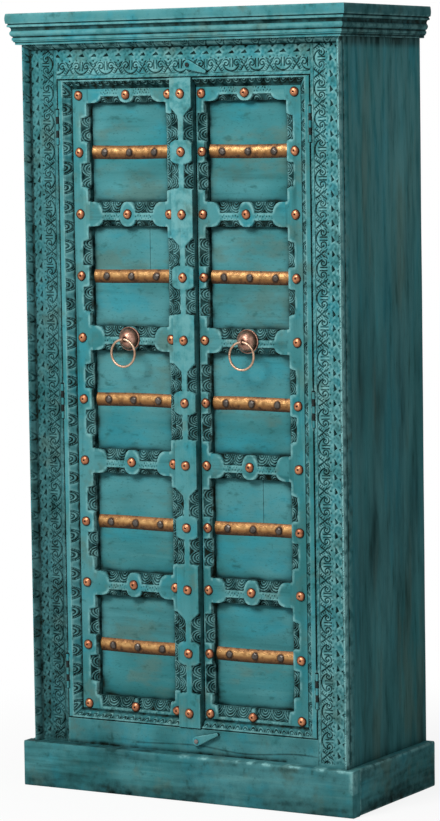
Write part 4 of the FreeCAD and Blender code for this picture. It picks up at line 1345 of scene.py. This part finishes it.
# Floor, light and camera: a plain pale floor, a soft lamp at the front left and an even white surround.
# The floor and the world look white to the camera and in reflections, and light the cabinet only softly.
def seen(tree):
    """1 for rays that show the background as it is: from the camera, off metal and through glass."""
    path = shader(tree, "LightPath").outputs
    rays = maths(tree, "MAXIMUM", path["Is Camera Ray"], path["Is Glossy Ray"])
    return maths(tree, "MAXIMUM", rays, path["Is Transmission Ray"])


floor_half = 30.0
floor_corners = [(x * floor_half, y * floor_half, 0) for x, y in ((-1, -1), (1, -1), (1, 1), (-1, 1))]
floor_mesh = bpy.data.meshes.new("floor")
floor_mesh.from_pydata(floor_corners, [], [(0, 1, 2, 3)])
floor = in_scene("floor", floor_mesh)
floor_paper = bpy.data.materials.new("floor_paper")
tree = cleared(floor_paper)
lit = shader(tree, "BsdfDiffuse", {"Color": (0.95, 0.95, 0.95, 1)}).outputs[0]
white = shader(tree, "Emission", {"Color": (1, 1, 1, 1), "Strength": 1.0}).outputs[0]
place = shader(tree, "TexCoord").outputs["Object"]
spread = shader(tree, "VectorMath", {0: place}, operation="LENGTH").outputs["Value"]
share = maths(tree, "MULTIPLY", seen(tree), ramp(tree, spread, 0.5, 1.6, 0.88, 1.0))
shader(tree, "OutputMaterial", {0: shader(tree, "MixShader", {0: share, 1: lit, 2: white}).outputs[0]})
floor_mesh.materials.append(floor_paper)

ambient = 0.26
world = bpy.data.worlds.new("surround")
bpy.context.scene.world = world
tree = cleared(world)
strength = maths(tree, "MAXIMUM", seen(tree), ambient)
sky = shader(tree, "Background", {"Color": (1, 1, 1, 1), "Strength": strength}).outputs[0]
shader(tree, "OutputWorld", {0: sky})

lamp_place, lamp_target = Vector((-0.7, -3.4, 3.8)), Vector((0, -0.1, 1.0))
key_light = bpy.data.lights.new("key_lamp", "AREA")
key_light.size = 1.4
key_light.energy = 178
key_lamp = in_scene("key_lamp", key_light)
key_lamp.location = lamp_place
key_lamp.rotation_euler = (lamp_target - lamp_place).to_track_quat("-Z", "Y").to_euler()

camera_azimuth = math.radians(30.1917)
camera_elevation = math.radians(5.0439)
camera_roll = math.radians(-0.8468)
camera_place = np.array((3.8486, -6.6255, 1.5562))
lens_pixels = 3325.15
frame_pixels = 821
sensor = 36.0
back = np.array((
    math.sin(camera_azimuth) * math.cos(camera_elevation),
    -math.cos(camera_azimuth) * math.cos(camera_elevation),
    math.sin(camera_elevation),
))
right = np.array((math.cos(camera_azimuth), math.sin(camera_azimuth), 0))
up = np.cross(back, right)
turned_right = math.cos(camera_roll) * right + math.sin(camera_roll) * up
turned_up = math.cos(camera_roll) * up - math.sin(camera_roll) * right
lens = bpy.data.cameras.new("camera")
lens.sensor_width = sensor
lens.lens = lens_pixels / frame_pixels * sensor
camera = in_scene("camera", lens)
matrix = np.eye(4)
matrix[:3] = np.stack([turned_right, turned_up, back, camera_place], axis=-1)
camera.matrix_world = Matrix(matrix.tolist())
bpy.context.scene.camera = camera
bpy.context.scene.view_settings.view_transform = "Standard"
